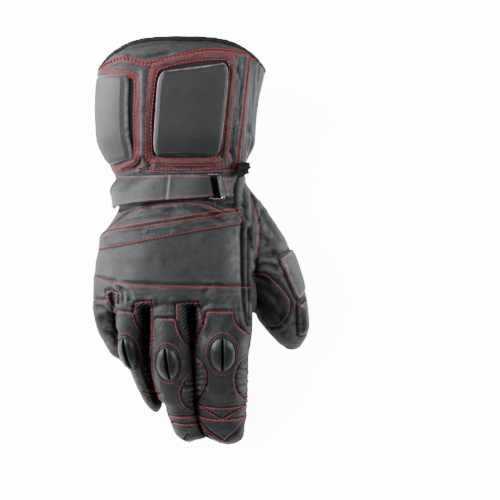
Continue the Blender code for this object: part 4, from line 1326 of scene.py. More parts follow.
# Seams of the hand. Places are frame places unless a form is named.
plain = {"depth": 0.0008, "width": 0.0008, "puff": 0.0004}
tight = {"depth": 0.0011, "width": 0.0007, "puff": 0.0004, "threads": (0.0010,)}
tightCorners = {"corners": True, **tight}
onThumb, onHand = {"form": thumbForm, **plain}, {"form": handForm, **plain}
handLines = [
    (dict(lap=-0.0008, **plain),
     [(109.5, 228), (118, 219.5), (129, 212), (142, 207), (155.4, 203.9), (171, 202), (187.7, 201.7),
      (200, 202.8), (210, 205), (222.9, 210.5)]),
    (dict(corners=True, lap=-0.0009, lapReach=0.003, depth=0.0008, width=0.0007, threads=(0.0008, -0.0020)),
     [(101.0, 232.4), (170, 221.4), (240.6, 210.4)]),
    (dict(corners=True, lap=0.0009, lapReach=0.003, depth=0.0010, width=0.0008, threads=(-0.0009,)),
     [(98.6, 249.8), (170, 236.4), (241.4, 223.6)]),
    (dict(corners=True, soft=1, threads=(0.0009,), **plain), [(240.4, 210.8), (241.6, 223.6)]),
    # deep folds by the thumb's side, with painted shade in them
    (dict(threads=(), depth=0.0024, width=0.0014, puff=0.0007, shadeAndDarkDye=1.0),
     [(241.8, 224), (242.2, 250), (242.8, 285), (243.8, 306), (247.4, 325)]),
    (dict(threads=(), depth=0.0018, width=0.0013, puff=0.0006, shadeAndDarkDye=0.97),
     [(247.6, 232), (247.8, 262), (248.3, 290), (249, 320)]),
    # the painted shade below the strap, and in the hollow beside its tab
    (dict(threads=(), depth=0.0018, width=0.0013, shadeAndDarkDye=0.95),
     [(110, 211.5), (124, 208.6), (137, 206.2), (174.5, 201.2), (212, 199.4), (232, 200)]),
    (dict(threads=(), depth=0.0020, width=0.0015, shadeAndDarkDye=0.95), [(217, 203), (225, 205.6), (235, 207)]),
    (dict(threads=(), depth=0.0016, width=0.0011, shadeAndDarkDye=0.95),
     [(238, 179), (235.4, 188), (234.6, 198), (236.4, 209), (240.6, 218)]),
    # the hollow where the thumb leaves the hand, with painted shade in it
    (dict(threads=(), depth=0.0024, width=0.0030, shadeAndDarkDye=0.9), [(253, 275), (260, 278.5), (268, 283)]),
    (dict(lap=0.0005, **plain),
     [(94.6, 275.6), (104, 278.8), (114, 281), (145.3, 284.4), (200, 285.5), (248.6, 286)]),
    (plain, [(247, 184), (253.7, 201.7), (258.8, 223.7), (259.8, 238.3), (256.8, 259), (253, 272)]),
    # thumb's inner panel
    (plain, [(254, 272.6), (266.6, 273.6), (274.9, 281), (284.8, 291.5), (290.2, 301), (289.6, 312),
             (283.2, 323), (274, 327.4), (266.5, 327)]),
    # index
    (tight, [(198.5, 302.6), (201, 312), (203.4, 325.5)]),
    (tightCorners, [(196.8, 345), (197.4, 336), (201.5, 330), (204.2, 322), (206.2, 311), (233.4, 311),
                    (236, 322.6), (241.5, 329), (248.4, 334)]),
    (tight, [(197.2, 358), (203.5, 364.5), (207.4, 375), (205.2, 388), (197.0, 399.5)]),
    (tight, [(248.4, 357), (240.5, 363.5), (235.2, 376), (237.5, 391.5), (247.6, 400.5)]),
    (plain, [(196.6, 403.6), (208, 406.6), (222, 407.8), (236, 406.6), (247.4, 403.8)]),
    (dict(corners=True, soft=2, **plain), [(198.4, 404.5), (222.2, 419), (246, 404.5)]),
    (plain, [(197.2, 414.6), (209, 418.2), (222, 419.4), (235, 418.6), (246.8, 416.4)]),
    (plain, [(199.4, 419.5), (209, 431), (223, 439.8)]),
    (plain, [(245.4, 418.5), (236.5, 431), (226.6, 439.5)]),
    # middle
    (tightCorners, [(153.4, 343), (153.2, 330), (154.6, 318.4), (175.4, 318.4), (178, 329), (181.5, 337),
                    (188.2, 345.5)]),
    (tightCorners, [(175.6, 318), (175.0, 303.4), (199, 302.4)]),
    (tight, [(192.6, 372.5), (185, 381), (180.6, 391.5), (183.2, 403), (192.4, 410.5)]),
    (plain, [(168.6, 414.6), (180, 416.8), (196, 415)]),
    (plain, [(172.8, 422), (184, 424), (196, 422.8)]),
    (dict(soft=1, **plain), [(187.8, 434), (184.6, 438.5)]),
    # ring and little finger
    (tightCorners, [(114.2, 325), (116.6, 310), (133.2, 312.4), (136.9, 324.5), (141.5, 331), (148.6, 338)]),
    (tightCorners, [(133.4, 312), (134.4, 302.2), (151.2, 301)]),
    (tight, [(151.2, 301.4), (152.6, 315), (152.6, 330), (152.4, 343)]),
    (tight, [(149.8, 359.5), (144.5, 364.5), (143.6, 372), (147.5, 381), (154.5, 387.5)]),
    (plain, [(144.6, 392.2), (152, 394), (161, 393.2)]),
    (tightCorners, [(112.8, 309.8), (107.6, 301), (105, 291), (112, 289.6), (119, 292.6), (118, 303)]),
    (plain, [(92.6, 297.4), (98, 299.2), (105.6, 299.6)]),
]
# the seams along the sides of the fingers: the first share, and the angles of the two upper ones
sideSeams = {"index": (0.06, 19, 161), "middle": (0.10, 16, 160), "ring": (0.12, 12, 158),
             "little": (0.06, 10, 165)}
thumbAndPalmLines = [
    # thumb
    (onThumb, [(0.30, -28), (0.5, -26), (0.7, -22), (0.9, -10), (0.97, 30)]),
    (onThumb, [(0.44, 205), (0.6, 204), (0.78, 200), (0.93, 180), (0.97, 120)]),
    (onThumb, [(0.10, -30), (0.14, -60), (0.22, -90), (0.32, -115), (0.42, -135), (0.5, -150)]),
    # grooves round the thumb's layers, with painted shade in them
    (dict(form=thumbForm, closed=True, depth=0.0007, width=0.0009, shadeAndDarkDye=0.92, threads=()),
     [(0.392, 66), (0.392, 34), (0.392, 2), (0.50, 4), (0.618, 9), (0.635, 35), (0.650, 60), (0.52, 66)]),
    (dict(form=thumbForm, closed=True, depth=0.0007, width=0.0009, shadeAndDarkDye=0.92, threads=()),
     [(0.664, 62), (0.664, 24), (0.78, 24), (0.885, 28), (0.885, 74), (0.78, 70)]),
    # little finger's side of the hand, and the palm
    (onHand, [(0.02, 188), (0.3, 192), (0.6, 196), (0.95, 198)]),
    (onHand, [(0.44, 225), (0.42, 250), (0.45, 275), (0.55, 300), (0.70, 318)]),
    (onHand, [(0.03, 196), (0.03, 230), (0.03, 270), (0.03, 310), (0.03, 345)]),
    (onHand, [(0.95, 205), (0.97, 235), (0.97, 270), (0.96, 300), (0.93, 335)]),
]


def handSeamList(base):
    seams = [Seam(base, spots, **kind) for kind, spots in handLines]
    for name, (low, *upper) in sideSeams.items():
        for start, end, angles in ((low, 0.97, upper), (0.02, 0.90, (-24, 204))):
            for angle in angles:
                line = [(s, angle) for s in np.linspace(start, end, 9)]
                seams.append(Seam(base, line, form=fingerForm(name), **tight))
    return seams + [Seam(base, spots, **kind) for kind, spots in thumbAndPalmLines]


# Folds of the hand: frame places, depth and width in metres
handFolds = [
    ([(245, 178), (243, 198), (244.5, 218)], 0.0012, 0.0014),
    ([(250.5, 196), (252, 215), (250.5, 240)], 0.0008, 0.0014),
    ([(258, 206), (266, 222), (277, 240)], 0.0009, 0.0020),
    ([(262, 236), (270, 247), (279, 262)], 0.0010, 0.0020),
    ([(255, 262), (262, 256), (272, 255)], 0.0014, 0.0016),
    ([(256, 268), (265, 264), (276, 268)], 0.0016, 0.0014),
    ([(258, 250), (266, 244), (272, 240)], 0.0008, 0.0016),
    ([(257, 286), (266, 290), (276, 298)], 0.0010, 0.0020),
    ([(258, 300), (268, 306), (278, 316)], 0.0008, 0.0020),
    ([(276, 300), (282, 310), (280, 320)], 0.0006, 0.0018),
    ([(148, 206), (160, 212), (180, 210)], 0.0007, 0.0018),
    ([(186, 206), (204, 212), (222, 218)], 0.0010, 0.0016),
    ([(120, 222), (140, 216), (170, 214)], 0.0006, 0.0020),
    ([(228, 204), (236, 206), (243, 205)], 0.0008, 0.0012),
    ([(108, 240), (140, 236), (170, 231)], 0.0004, 0.0010),
    ([(150, 232), (190, 226), (236, 218)], 0.0004, 0.0010),
    ([(122, 288), (128, 293), (130, 300)], 0.0010, 0.0012),
    ([(118, 286), (123, 292), (124, 300)], 0.0008, 0.0010),
    ([(207, 302), (204, 295), (209, 288)], 0.0008, 0.0012),
    ([(238, 300), (234, 306), (240, 312)], 0.0007, 0.0012),
    ([(160, 296), (166, 300), (172, 296)], 0.0004, 0.0016),
    ([(100, 262), (120, 266), (150, 264)], 0.0003, 0.0025),
    ([(206, 318), (212, 328), (208, 336)], 0.0005, 0.0016),
    ([(232, 318), (228, 330), (234, 340)], 0.0005, 0.0016),
    ([(199, 384), (203, 387), (206, 386)], 0.0008, 0.0008),
    ([(198.5, 390), (202, 392), (204.5, 391)], 0.0007, 0.0008),
    ([(238, 372), (242, 370), (247, 370)], 0.0010, 0.0009),
    ([(237, 379), (242, 377), (247.5, 377.5)], 0.0010, 0.0009),
    ([(237.5, 386), (242.5, 385), (247.5, 386)], 0.0010, 0.0009),
    ([(239, 393), (243, 392), (247.5, 394)], 0.0008, 0.0008),
    ([(184.5, 386), (188, 387), (191.5, 385)], 0.0009, 0.0008),
    ([(184.5, 394), (188, 394), (191.5, 392)], 0.0009, 0.0008),
    ([(104, 318), (112, 322), (118, 332)], 0.0006, 0.0014),
    ([(98, 308), (108, 310), (114, 318)], 0.0005, 0.0014),
    ([(108, 330), (114, 334), (117, 343)], 0.0006, 0.0012),
    ([(284, 330), (292, 336), (300, 334)], 0.0005, 0.0014),
    ([(280, 318), (290, 326), (301, 324)], 0.0005, 0.0016),
    ([(266, 200), (262, 208), (258, 222)], 0.0006, 0.0012),
]

# Places of the hand with painted shade, and with painted highlights: frame place, reach across and along, strength
shadePlaces = [(257, 268, 6, 9, 0.5), (165, 262, 34, 24, 0.50), (222, 388, 14, 14, 0.62),
              (222, 428, 14, 9, 0.45), (168, 400, 12, 10, 0.35), (257, 272, 4, 7, 0.85), (263, 285, 8, 3, 0.6),
              (268, 252, 4, 3, 0.4)]
highlightPlaces = [(236, 255, 8, 28, 0.85), (268, 262, 6, 4, 0.4), (245.5, 378, 2.5, 12, 0.5), (200, 372, 3, 12, 0.4),
                (106, 262, 9, 20, 0.22), (204, 341, 4.5, 8, 0.45), (243, 346, 3.5, 10, 0.45),
                (111, 322, 6, 16, 0.95), (292, 336, 9, 12, 0.50), (250, 318, 4, 26, 0.30), (252, 225, 6, 34, 0.30),
                (150, 342, 3, 12, 0.30), (165, 297, 34, 6, 0.22), (215, 297, 16, 7, 0.22), (222, 306, 12, 4, 0.2)]

# Notches between the fingers: frame row, left edge, bottom and right edge of the valley
notches = [
    {"rows": [(291, 105.5, 112.5, 118.6), (300, 108.5, 113.0, 117.6), (308, 111.2, 113.4, 115.5)], "depth": 0.0045},
    {"rows": [(302.5, 135, 148.5, 151.5), (315, 137, 149.5, 152.2), (328, 142, 150.2, 152.4),
              (342, 148, 150.4, 152.6)],
     "depth": 0.0075},
    {"rows": [(303.5, 176, 193, 199), (315, 178, 193, 200.5), (328, 182, 193, 200), (345, 189, 193, 196.6)],
     "depth": 0.0095},
]


def inside(spots, corners):
    # whether each place is inside a closed line
    corners = np.asarray(corners, float)
    x, y = spots[:, 0], spots[:, 1]
    found = np.zeros(len(spots), bool)
    for (ax, ay), (bx, by) in zip(corners, np.roll(corners, -1, 0)):
        crosses = (ay > y) != (by > y)
        with np.errstate(divide="ignore", invalid="ignore"):
            found ^= crosses & (x < (bx - ax) * (y - ay) / (by - ay) + ax)
    return found


def carveNotches(points, normals):
    # how deep the valleys between the fingers are, where their ribbed inserts show, and the slot at their bottom
    # that gets painted shade
    x, y = framePlaces(points).T
    facing = smoothStep(normals[:, 2], 0.0, 0.3) * (points[:, 2] > 0.02)
    drop, insert, slot = np.zeros((3, len(points)))
    for notch in notches:
        rows = np.array(notch["rows"])
        left, low, right = (np.interp(y, rows[:, 0], rows[:, i]) for i in (1, 2, 3))
        within = np.where(x < low, (x - left) / np.maximum(low - left, 0.1),
                          (right - x) / np.maximum(right - low, 0.1))
        fade = smoothStep(y, rows[0, 0] - 1.0, rows[0, 0] + 5) * (1 - smoothStep(y, rows[-1, 0], rows[-1, 0] + 6))
        drop += notch["depth"] * smoothStep(within, 0.0, 1.0) * fade * facing
        insert = np.maximum(insert, smoothStep(within, 0.02, 0.15) * (fade > 0.02) * facing)
        slot = np.maximum(slot, bell(x - low, 2.2) * fade * facing)
    return drop, insert, slot


outlines = {
    "band": [(101, 233), (240.6, 211), (241.4, 223.4), (98.8, 249.5)],
    "thumbPanel": [(250, 272.6), (266.6, 273.6), (274.9, 281), (284.8, 291.5), (290.2, 301), (289.6, 312),
                   (283.2, 323), (274, 327.4), (266.5, 327), (250, 318)],
    "belowLoop": [(210, 171.5), (220.5, 171.5), (221, 200), (210, 200)],
}
# black inserts in the waists of the fingers' sides
waists = [
    [(197, 360), (203.5, 366), (207, 375), (205, 388), (197, 398)],
    [(248.5, 359), (241, 364.5), (236, 376), (238, 391), (248, 399)],
    [(193, 374), (185.5, 382), (181.2, 391.5), (184, 402), (192.6, 409.5)],
    [(150, 361), (145, 365), (144.2, 372), (148, 380.5), (154.5, 386.5)],
]
# painted shade on the webs between the fingers' roots: middle and end in metres, strength
fingerWebs = ((-0.0035, -0.074, 0.85), (-0.0345, -0.070, 0.85), (-0.0575, -0.052, 0.4))


handRelief = {
    "bandRise": 0.0005, "bandEnd": 0.0022, "puff": 0.0007, "puffReach": 0.0045, "puffSunk": 0.0003,
    "rolls": 0.00022, "rollPitch": 0.0023, "pucker": 0.0005, "coarse": 0.00045, "fine": 0.00022,
    "ribs": 0.0006, "ribPitch": 4.2, "pleats": 0.0004, "pleatPitch": 5.2, "lowest": 0.0002,
    "foldSoftness": 10, "foldFullness": 0.6, "foldShade": 0.10, "foldReach": 0.010,
}


def makeHandSurface(base, seams, values):
    points, normals = base.points, base.normals
    spots = framePlaces(points)
    x, y = spots.T
    up = normals[:, 2] > 0
    height, shadeAndDarkDye, red = seamRelief(points, normals, seams)
    creased, shade = foldRelief(base, handFolds, values)
    height += creased
    height += values["bandRise"] * (inside(spots, outlines["band"]) & up)
    # leather is fullest between its seams
    gap = np.full(len(points), 0.02)
    for seam in seams:
        gap = np.minimum(gap, seam.measure(points, normals)[0])
    height += values["puff"] * (1 - bell(gap, values["puffReach"])) - values["puffSunk"]
    palm = smoothStep(-normals[:, 2], 0.10, 0.35)
    # palm side: cross folds of relaxed fingers and a gathered wrist
    sway = unevenness(points, 0.02, 5)
    rolls = np.sin(points[:, 1] / values["rollPitch"] + 5.0 * sway) * smoothStep(-points[:, 1], 0.050, 0.060)
    height += values["rolls"] * palm * rolls * smoothStep(sway, -0.1, 0.3)
    pucker = np.sin(np.degrees(np.arctan2(points[:, 2] - 0.032, points[:, 0] + 0.012)) / 3.0 + 2 * sway)
    height += values["pucker"] * palm * pucker * bell(points[:, 1] - 0.049, 0.012)
    height += values["coarse"] * unevenness(points, 0.018, 3) + values["fine"] * unevenness(points, 0.007, 4)
    drop, insert, slot = carveNotches(points, normals)
    ribs = np.sin((x * 0.9 + y) * 2 * math.pi / values["ribPitch"])
    height += values["ribs"] * insert * ribs
    waist = np.zeros(len(points))
    for corners in waists:
        waist = np.maximum(waist, inside(spots, corners) * smoothStep(normals[:, 2], 0.0, 0.15))
    pleats = np.sin(y * 2 * math.pi / values["pleatPitch"] + 0.15 * x)
    height += values["pleats"] * waist * pleats
    # the band's end stands out on the little finger's side
    height += values["bandEnd"] * bell(y - 237, 7) * smoothStep(-normals[:, 0], 0.3, 0.9) * (normals[:, 2] > -0.6)
    moved = points + normals * height[:, None]
    moved[:, 2] -= drop
    moved = smoothed(moved, edgesOf(base.quads), 3, smoothStep(drop, 0.0003, 0.002))
    moved[:, 2] = np.maximum(moved[:, 2], values["lowest"])
    # painted shade in the creases, the notches' slots, where the fingers meet, below the strap's loop and on the
    # webs between the fingers; the ribbed inserts and the waists darker leather, with painted shade between the
    # inserts' ribs; the thumb's inner panel darker leather with painted shade
    darks = [shadeAndDarkDye, shade, insert * (0.42 - 0.40 * ribs), 0.97 * slot,
             0.97 * creaseShade(points, normals, base.finger), 0.45 * waist,
             0.80 * inside(spots, outlines["thumbPanel"]) * (normals[:, 2] > -0.2) * (points[:, 0] > 0.034),
             0.97 * inside(spots, outlines["belowLoop"]) * (points[:, 2] > 0.04)]
    for column, row, wide, tall, deep in shadePlaces:
        darks.append(deep * bell(x - column, wide) * bell(y - row, tall) * up)
    for place, low, deep in fingerWebs:
        web = bell(points[:, 0] - place, 0.004) * (points[:, 1] < -0.045) * (points[:, 1] > low)
        darks.append(deep * web * (points[:, 2] < 0.052) * (normals[:, 2] > 0.2))
    # lighter on raised folds, as painted highlight, and in random patches, as wear; painted highlights on the
    # inserts' ribs, the waists' pleats and the listed places
    wearAndSheen = (0.30 * smoothStep(creased, 0.0002, 0.0008) + 0.12 * smoothStep(unevenness(points, 0.012, 9), 0.1, 0.5)
            + 0.9 * insert * smoothStep(ribs, 0.2, 0.9) * (1 - slot) + 0.7 * waist * smoothStep(pleats, 0.3, 0.9))
    for column, row, wide, tall, much in highlightPlaces:
        wearAndSheen += much * bell(x - column, wide) * bell(y - row, tall) * up
    return Skin(moved, base.quads), {"shadeAndDarkDye": np.max(darks, 0), "wearAndSheen": wearAndSheen, "palm": palm, "red": red}


handSeams = handSeamList(handBase)
print("hand seams laid:", len(handSeams))
handSkin, handMasks = makeHandSurface(handBase, handSeams, handRelief)
print("hand surface shaped")


def splitHand(skin, masks, values):
    # the hand, the fingers and the thumb as pieces of their own, each with the whole skin's normals
    middle = skin.points[skin.quads].mean(1)
    owner = np.zeros(len(skin.quads), int)
    past = middle[:, 1] < values["splitY"]
    owner[past] = 1 + handBase.finger[skin.quads[:, 0]][past]
    thumb = (middle[:, 0] > 0.0372 + 0.25 * np.maximum(0, middle[:, 1])) & (middle[:, 1] < 0.032)
    owner[thumb] = 5
    pieces = [("hand_shell", "hand", "wrist_crescent", "back_band", "back_panel")]
    pieces += [(name + "_finger_shell", "finger_" + name) for name in fingers] + [("thumb_shell", "thumb")]
    for i, (name, *nodes) in enumerate(pieces):
        points, quads, used = partOf(skin.points, skin.quads[owner == i])
        obj = newPiece(name, points, quads, looks["charcoal"], {k: m[used] for k, m in masks.items()},
                       skin.normals[used])
        placed(obj, "charcoal_leather", *nodes)
        print(name, len(quads) * 2, "triangles")


splitHand(handSkin, handMasks, handValues)


# The lining, seen through the hem

lining = {"columns": 120, "inCuff": 0.0023, "inHand": 0.0030, "thickness": 0.0004}


def makeLining(values):
    count = values["columns"]
    around = np.linspace(0, 360, count, endpoint=False)
    rings = [gauntletForm(s, around, -values["inCuff"]) for s in np.linspace(0.995, 0.02, 30)]
    rings += [handForm(s, around, -values["inHand"]) for s in np.linspace(0.02, 0.70, 24)]
    end = rings[-1]
    for k in (0.9, 0.7, 0.45, 0.2):
        rings.append(end.mean(0) + (end - end.mean(0)) * k + np.array([0, -0.004 * (1 - k), 0]))
    outer = np.array(rings)
    outer[..., 2] = np.maximum(outer[..., 2], 0.0034)
    facing = vertexNormals(outer.reshape(-1, 3), gridQuads(len(rings), count, True)).reshape(outer.shape)
    facing *= np.sign((facing * (outer.mean(1, keepdims=True) - outer)).sum(-1, keepdims=True))
    points = np.concatenate([outer.reshape(-1, 3), (outer + facing * values["thickness"]).reshape(-1, 3)])
    half, last = len(rings) * count, (len(rings) - 1) * count
    quads = np.concatenate([gridQuads(len(rings), count, True), gridQuads(len(rings), count, True, True) + half,
                            ringQuads(0, half, count)[:, ::-1], ringQuads(last, half + last, count)])
    placed(newPiece("cuff_lining", points, outwards(points, quads), looks["lining"]), None)


makeLining(lining)
print("lining made")


# Strap, ring, tab and gathers

strap = {"corners": (((0.262, 194), (0.180, 67.5)), ((0.034, 174), (0.012, 67.5))), "thickness": 0.0024,
         "swell": 0.0030, "slant": 0.60}
# the strap's fold hides the loop's first bar
loop = {"corners": [(0.018, 70.9, 0.0020), (0.018, 60.6, 0.0054), (0.196, 60.6, 0.0054), (0.196, 70.9, 0.0020)],
        "radius": 0.00115, "flat": 0.75}
tab = {"thickness": 0.0022, "seat": 0.0007, "top": 0.0050}
tabPlace = quadPlace(((0.178, 63), (0.174, 46)), ((0.032, 63), (0.032, 46)), 30)
elastic = {"corners": (((0.008, 196), (0.000, 400)), ((0.120, 196), (0.088, 400))), "gathers": 19,
           "looseFrom": 0.80, "frill": 0.0062, "hang": 0.050}


def makeStrap(values):
    corners = quadPlace(*values["corners"], 40)

    def slanted(v, w):
        # the loose end is cut at a slant
        return w + values["slant"] * np.clip((v + 0.05) / 1.05, 0, 1) * (1 - w) / 2

    def rise(v, w, edge):
        at = slanted(v, w)
        fold = 0.0006 * bell(at - 0.50, 0.016) - 0.0005 * bell(at - 0.46, 0.02)
        return values["thickness"] + fold + 0.0003 * (1 - v * v)

    def seat(v, w):
        return 0.0008 + values["swell"] * np.maximum(0.0, -w) ** 2 + 0.0002 * np.sin(w * 9)

    # the strap's end by the loop gets a painted shadow
    return laidSlab("wrist_strap_leather", handForm, lambda v, w: corners(v, slanted(v, w)), rise, seat, 40, 170,
                    looks["strap"], "strap_leather", ("wrist_strap",), radius=0.0011,
                    shade=lambda v, w: 0.80 * smoothStep(w, 0.45, 0.95), rimHighlight=0.35)[1:]


def makeRing(values):
    points = np.array([handForm(*corner) for corner in values["corners"]])
    line = evenly(np.concatenate([points, points[:1]]), 0.0006)
    line = softened(line, 14, True)[:-1]
    facing = unit(np.cross(points[1] - points[0], points[3] - points[0]))
    facing = facing * np.sign(facing[2])
    points, quads = tubeAlong(line, values["radius"], 12, facing, values["flat"])
    placed(newPiece("strap_loop", points, quads, looks["ring"]), "black_metal", "strap_ring")


def makeTab(values):
    def seat(v, w):
        return values["seat"] + (values["top"] - values["seat"]) * (1 - smoothStep(w, -0.35, 0.35))

    return laidSlab("loop_tab", handForm, tabPlace, level(values["thickness"]), seat, 40, 40, looks["tab"],
                    "strap_leather", ("strap_tab",), radius=0.0009)[1]


def makeGathers(values):
    straight = quadPlace(*values["corners"], 20)

    def loose(w):
        return np.maximum(0.0, (w - values["looseFrom"]) / (1 - values["looseFrom"]))

    def seat(v, w):
        return 0.0007 + 0.0050 * loose(w) ** 2

    def rise(v, w, edge):
        wave = 0.5 - 0.5 * np.cos(math.pi * values["gathers"] * (w + 1) + 0.8 * np.sin(2 * v + 9 * w))
        frill = np.minimum(1, 1.4 * loose(w)) * np.abs(np.sin(v * 4.2 + 0.7)) ** 1.2
        wave = (0.0017 + 0.0014 * loose(w)) * wave ** 0.8 * (1 - 0.25 * v * v)
        return 0.0014 + wave + values["frill"] * frill

    def place(v, w):
        # the loose end hangs over the wrist seam
        share, around = straight(v, w)
        return share - values["hang"] * loose(w) * (1 - v) / 2, around

    laidSlab("wrist_elastic", gauntletForm, place, rise, seat, 26, 420, looks["elastic"], "black_elastic",
             ("wrist_gathers",), radius=0.0008, rimHighlight=0.0)


strapSkin, strapGrid = makeStrap(strap)
makeRing(loop)
tabSkin = makeTab(tab)
makeGathers(elastic)
print("strap and gathers made")


# Knuckle ovals: centre, half sizes and lean in the frame

ovals = {
    "index": {"centre": (222.4, 353.8), "half": (14.6, 19.2), "lean": 0},
    "middle": {"centre": (167.8, 363.0), "half": (12.8, 18.4), "lean": 9},
    "ring": {"centre": (128.2, 352.2), "half": (10.4, 17.8), "lean": 16},
}
ovalShape = {"rise": 0.0046, "rim": 0.89, "slit": 0.085, "rimRise": 0.0010}


def ovalSpots(values, radius, angle):
    x, y = radius * np.cos(angle) * values["half"][0], radius * np.sin(angle) * values["half"][1]
    lean = math.radians(values["lean"])
    return np.stack([values["centre"][0] + x * math.cos(lean) + y * math.sin(lean),
                     values["centre"][1] - x * math.sin(lean) + y * math.cos(lean)], -1)


def makeOvals(skin, shape):
    lines = []
    radius = np.concatenate([np.linspace(0.02, 0.8, 26), np.linspace(0.82, 1.0, 12)])
    angle = np.linspace(0, 2 * math.pi, 120, endpoint=False)
    r, a = np.meshgrid(radius, angle, indexing="ij")
    rows, columns = r.shape
    count = rows * columns
    x, inner = r * np.cos(a), np.clip(r / shape["rim"], 0, 1)
    slit = bell(x, shape["slit"]) * (1 - smoothStep(inner, 0.86, 1.0))
    height = 0.0004 + shape["rise"] * np.sqrt(np.maximum(0, 1 - inner ** 2.4)) * (1 - 0.90 * slit)
    height = (height + shape["rimRise"] * bell(r - 0.95, 0.04)) * (1 - smoothStep(r, 0.985, 1.0) * 0.9)
    # the middle is closed by a fan of triangles above and below
    last = count - columns
    faces = np.concatenate([gridQuads(rows, columns, True), gridQuads(rows, columns, True, True) + count,
                            ringQuads(last, count + last, columns)]).tolist()
    for j in range(columns):
        k = (j + 1) % columns
        faces += [[2 * count, k, j], [2 * count + 1, count + j, count + k]]
    # painted shade in the slit and the groove inside the rim, and a painted highlight on the rim
    shadeAndDarkDye = np.maximum(0.97 * bell(x, shape["slit"] * 1.3) * (r < shape["rim"]),
                      0.9 * bell(r - shape["rim"], 0.03))
    masks = {"shadeAndDarkDye": np.concatenate([shadeAndDarkDye.ravel(), np.zeros(count), [0.9, 0]]),
             "wearAndSheen": np.concatenate([(0.5 * bell(r - 0.93, 0.03)).ravel(), np.zeros(count + 2)])}
    for name, values in ovals.items():
        spots, facing = skin.nearest(skin.cast(ovalSpots(values, r, a).reshape(-1, 2)))
        facing = unit(facing.reshape(*r.shape, 3) * 0.3 + facing.mean(0) * 0.7)
        spots = softGrid(spots.reshape(*r.shape, 3), 2)
        over, under = spots + facing * height[..., None], spots - facing * 0.0006
        points = np.concatenate([over.reshape(-1, 3), under.reshape(-1, 3), [over[0].mean(0), under[0].mean(0)]])
        obj = newPiece(name + "_knuckle_oval", points, faces, looks["lobe"], masks)
        placed(obj, "side_pad_leather", "knuckle_pad_" + name)
        ring = skin.cast(ovalSpots(values, 1.10, np.linspace(0, 2 * math.pi, 90)))
        lines.append(laidLine(softened(evenly(ring, 0.0005), 4, True), skin))
    return lines


ovalLines = makeOvals(handSkin, ovalShape)
print("knuckle ovals made")


# Layers on the thumb and the palm

def thumbRise(v, w, edge):
    return 0.0015 + 0.0006 * smoothStep(edge, 0, 0.006)


def palmRise(v, w, edge):
    return 0.0013 + 0.00012 * np.sin(3 * v + 2 * w)


def sliderRise(ribs):
    def rise(v, w, edge):
        dome = 0.0012 + 0.0022 * edgeRound(edge, 0.0035)
        return dome - 0.0006 * (0.5 + 0.5 * np.cos(v * math.pi * ribs)) * smoothStep(edge, 0.003, 0.005)
    return rise


# name, form, corners and roundness, thickness, grid, look, slot, node, edge radius, inset of its stitching
layers = [
    ("upper_thumb_layer", thumbForm, (((0.400, 66), (0.400, 2)), ((0.640, 58), (0.610, 12)), 6), thumbRise,
     (50, 50), "strap", "charcoal_leather", "thumb_patch_upper", 0.0010, 0.0011),
    # the lower layer takes the darker knuckle leather, as painted shade
    ("lower_thumb_layer", thumbForm, (((0.672, 62), (0.672, 24)), ((0.875, 74), (0.875, 30)), 6), thumbRise,
     (50, 50), "lobe", "charcoal_leather", "thumb_patch_lower", 0.0010, 0.0011),
    ("palm_layer", handForm, (((0.50, 228), (0.56, 300)), ((0.95, 232), (0.95, 300)), 5), palmRise, (60, 70),
     "palmPatch", "palm_leather", "palm_patch", 0.0008, 0.0012),
    ("inner_heel_slider", handForm, (((0.105, 272), (0.120, 304)), ((0.335, 266), (0.345, 296)), 4),
     sliderRise(3), (60, 50), "slider", "slider_plastic", "palm_slider_inner", 0.0012, 0.0016),
    ("outer_heel_slider", handForm, (((0.130, 222), (0.120, 250)), ((0.350, 216), (0.340, 244)), 3.2),
     sliderRise(6), (60, 50), "slider", "slider_plastic", "palm_slider_outer", 0.0012, 0.0016),
]
flap = {"corners": (((0.25, 198), (0.25, 315)), ((0.875, 198), (0.875, 315)), 14), "thickness": 0.0022,
        "seat": 0.0006, "inset": 0.0020}


def makeLayers(skin):
    lines = []
    for name, form, corners, rise, grid, look, slot, node, radius, inset in layers:
        top, over = laidSlab(name, form, quadPlace(*corners), rise, level(0.0001), *grid, looks[look], slot,
                             (node,), radius=radius, skin=skin, tuck=0.0008)[1:]
        lines.append(rimLine(inset, over, top))
    return lines


def makeFlap(values):
    top, over = laidSlab("closure_flap", gauntletForm, quadPlace(*values["corners"]), level(values["thickness"]),
                         level(values["seat"]), 60, 110, looks["flap"], "flap_leather", ("cuff_flap",),
                         radius=0.0009)[1:]
    return rimLine(values["inset"], over, top)


layerLines = makeLayers(handSkin) + [makeFlap(flap)]
print("layers made")


# All the red stitching

def strapLines(grid, skin, rows=(-0.80, 0.80)):
    # two rows along the strap and one across its end
    low, high = (int(np.argmin(np.abs(spread(len(grid)) - at))) for at in rows)
    lines = [laidLine(softened(evenly(grid[i, 3:-2], 0.0005), 4, False), skin) for i in (low, high)]
    return lines + [laidLine(softened(evenly(grid[low:high + 1, 9], 0.0005), 2, False), skin)]


def tabLines(skin, v=0.8, low=-0.35, high=0.86):
    # a box with a cross in it
    box = [(-v, low), (v, low), (v, high), (-v, high), (-v, low)]
    t = np.linspace(0, 1, 40)
    lines = []
    for a, b in list(zip(box, box[1:])) + [(box[0], box[2]), (box[1], box[3])]:
        share, around = tabPlace(a[0] + (b[0] - a[0]) * t, a[1] + (b[1] - a[1]) * t)
        lines.append(laidLine(handForm(share, around, 0.003), skin))
    return lines


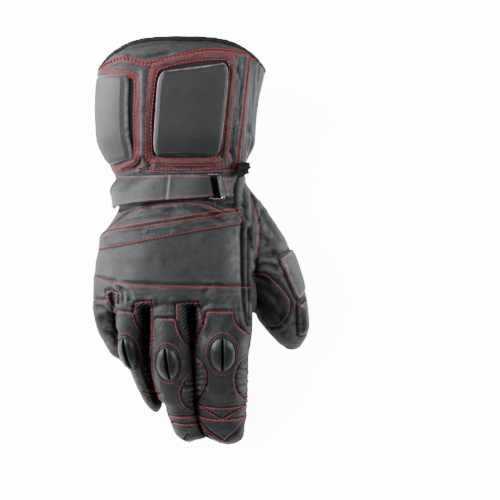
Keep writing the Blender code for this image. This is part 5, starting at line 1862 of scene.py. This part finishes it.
stitchSets = {
    "welt_stitching": threadLines(cuffSkin, cuffSeams[:6]),
    "cuff_stitching": threadLines(cuffSkin, cuffSeams[6:]),
    "hand_stitching": threadLines(handSkin, handSeams),
    "strap_stitching": strapLines(strapGrid, strapSkin) + tabLines(tabSkin),
    "layer_stitching": ovalLines + layerLines,
}
for label, lines in stitchSets.items():
    heavy = {"thickness": 0.00095} if label == "welt_stitching" else {}
    made = addStitches(label, lines, {**stitching, **heavy}, looks["red"])
    print(label, len(made.data.polygons), "faces")


# Floor and lights

studio = {"floor": (0.9, 0.9, 0.9, 1), "glow": 12.0, "lit": 0.08, "world": 0.12, "reach": 40.0}


def addFloor(values):
    far = values["reach"]
    points = np.array([(-far, -far, 0.0), (far, -far, 0.0), (far, far, 0.0), (-far, far, 0.0)])
    look, tree, shader, place = newMaterial("paperFloor")
    # the paper is white to look at and gives the glove only a soft light from below
    seen = tree.nodes.new("ShaderNodeLightPath").outputs["Is Camera Ray"]
    fill(tree, shader, {"Base Color": values["floor"], "Roughness": 0.9, "Specular IOR Level": 0.1,
                        "Emission Color": mixColours(tree, seen, (values["lit"],) * 3 + (1,), (1, 1, 1, 1)),
                        "Emission Strength": values["glow"]})
    newPiece("floor", points, np.array([[0, 1, 2, 3]]), look)


def addLight(name, place, aim, size, energy):
    data = bpy.data.lights.new(name, "AREA")
    data.shape = "RECTANGLE"
    data.size, data.size_y = size
    data.energy = energy
    lamp = bpy.data.objects.new(name, data)
    lamp.location = place
    lamp.rotation_euler = (Vector(aim) - Vector(place)).to_track_quat("-Z", "Y").to_euler()
    bpy.context.scene.collection.objects.link(lamp)


addFloor(studio)
addLight("left softbox", (-0.95, 0.25, 0.45), (0, 0, 0.03), (0.7, 1.1), 62)
addLight("right softbox", (1.0, 0.15, 0.42), (0, 0, 0.03), (0.5, 1.2), 30)
addLight("top softbox", (-0.1, 0.9, 1.1), (0, 0, 0), (0.8, 0.8), 3.5)
world = bpy.data.worlds.new("studio")
bpy.context.scene.world = world
world.use_nodes = True
world.node_tree.nodes["Background"].inputs[0].default_value = (1, 1, 1, 1)
world.node_tree.nodes["Background"].inputs[1].default_value = studio["world"]
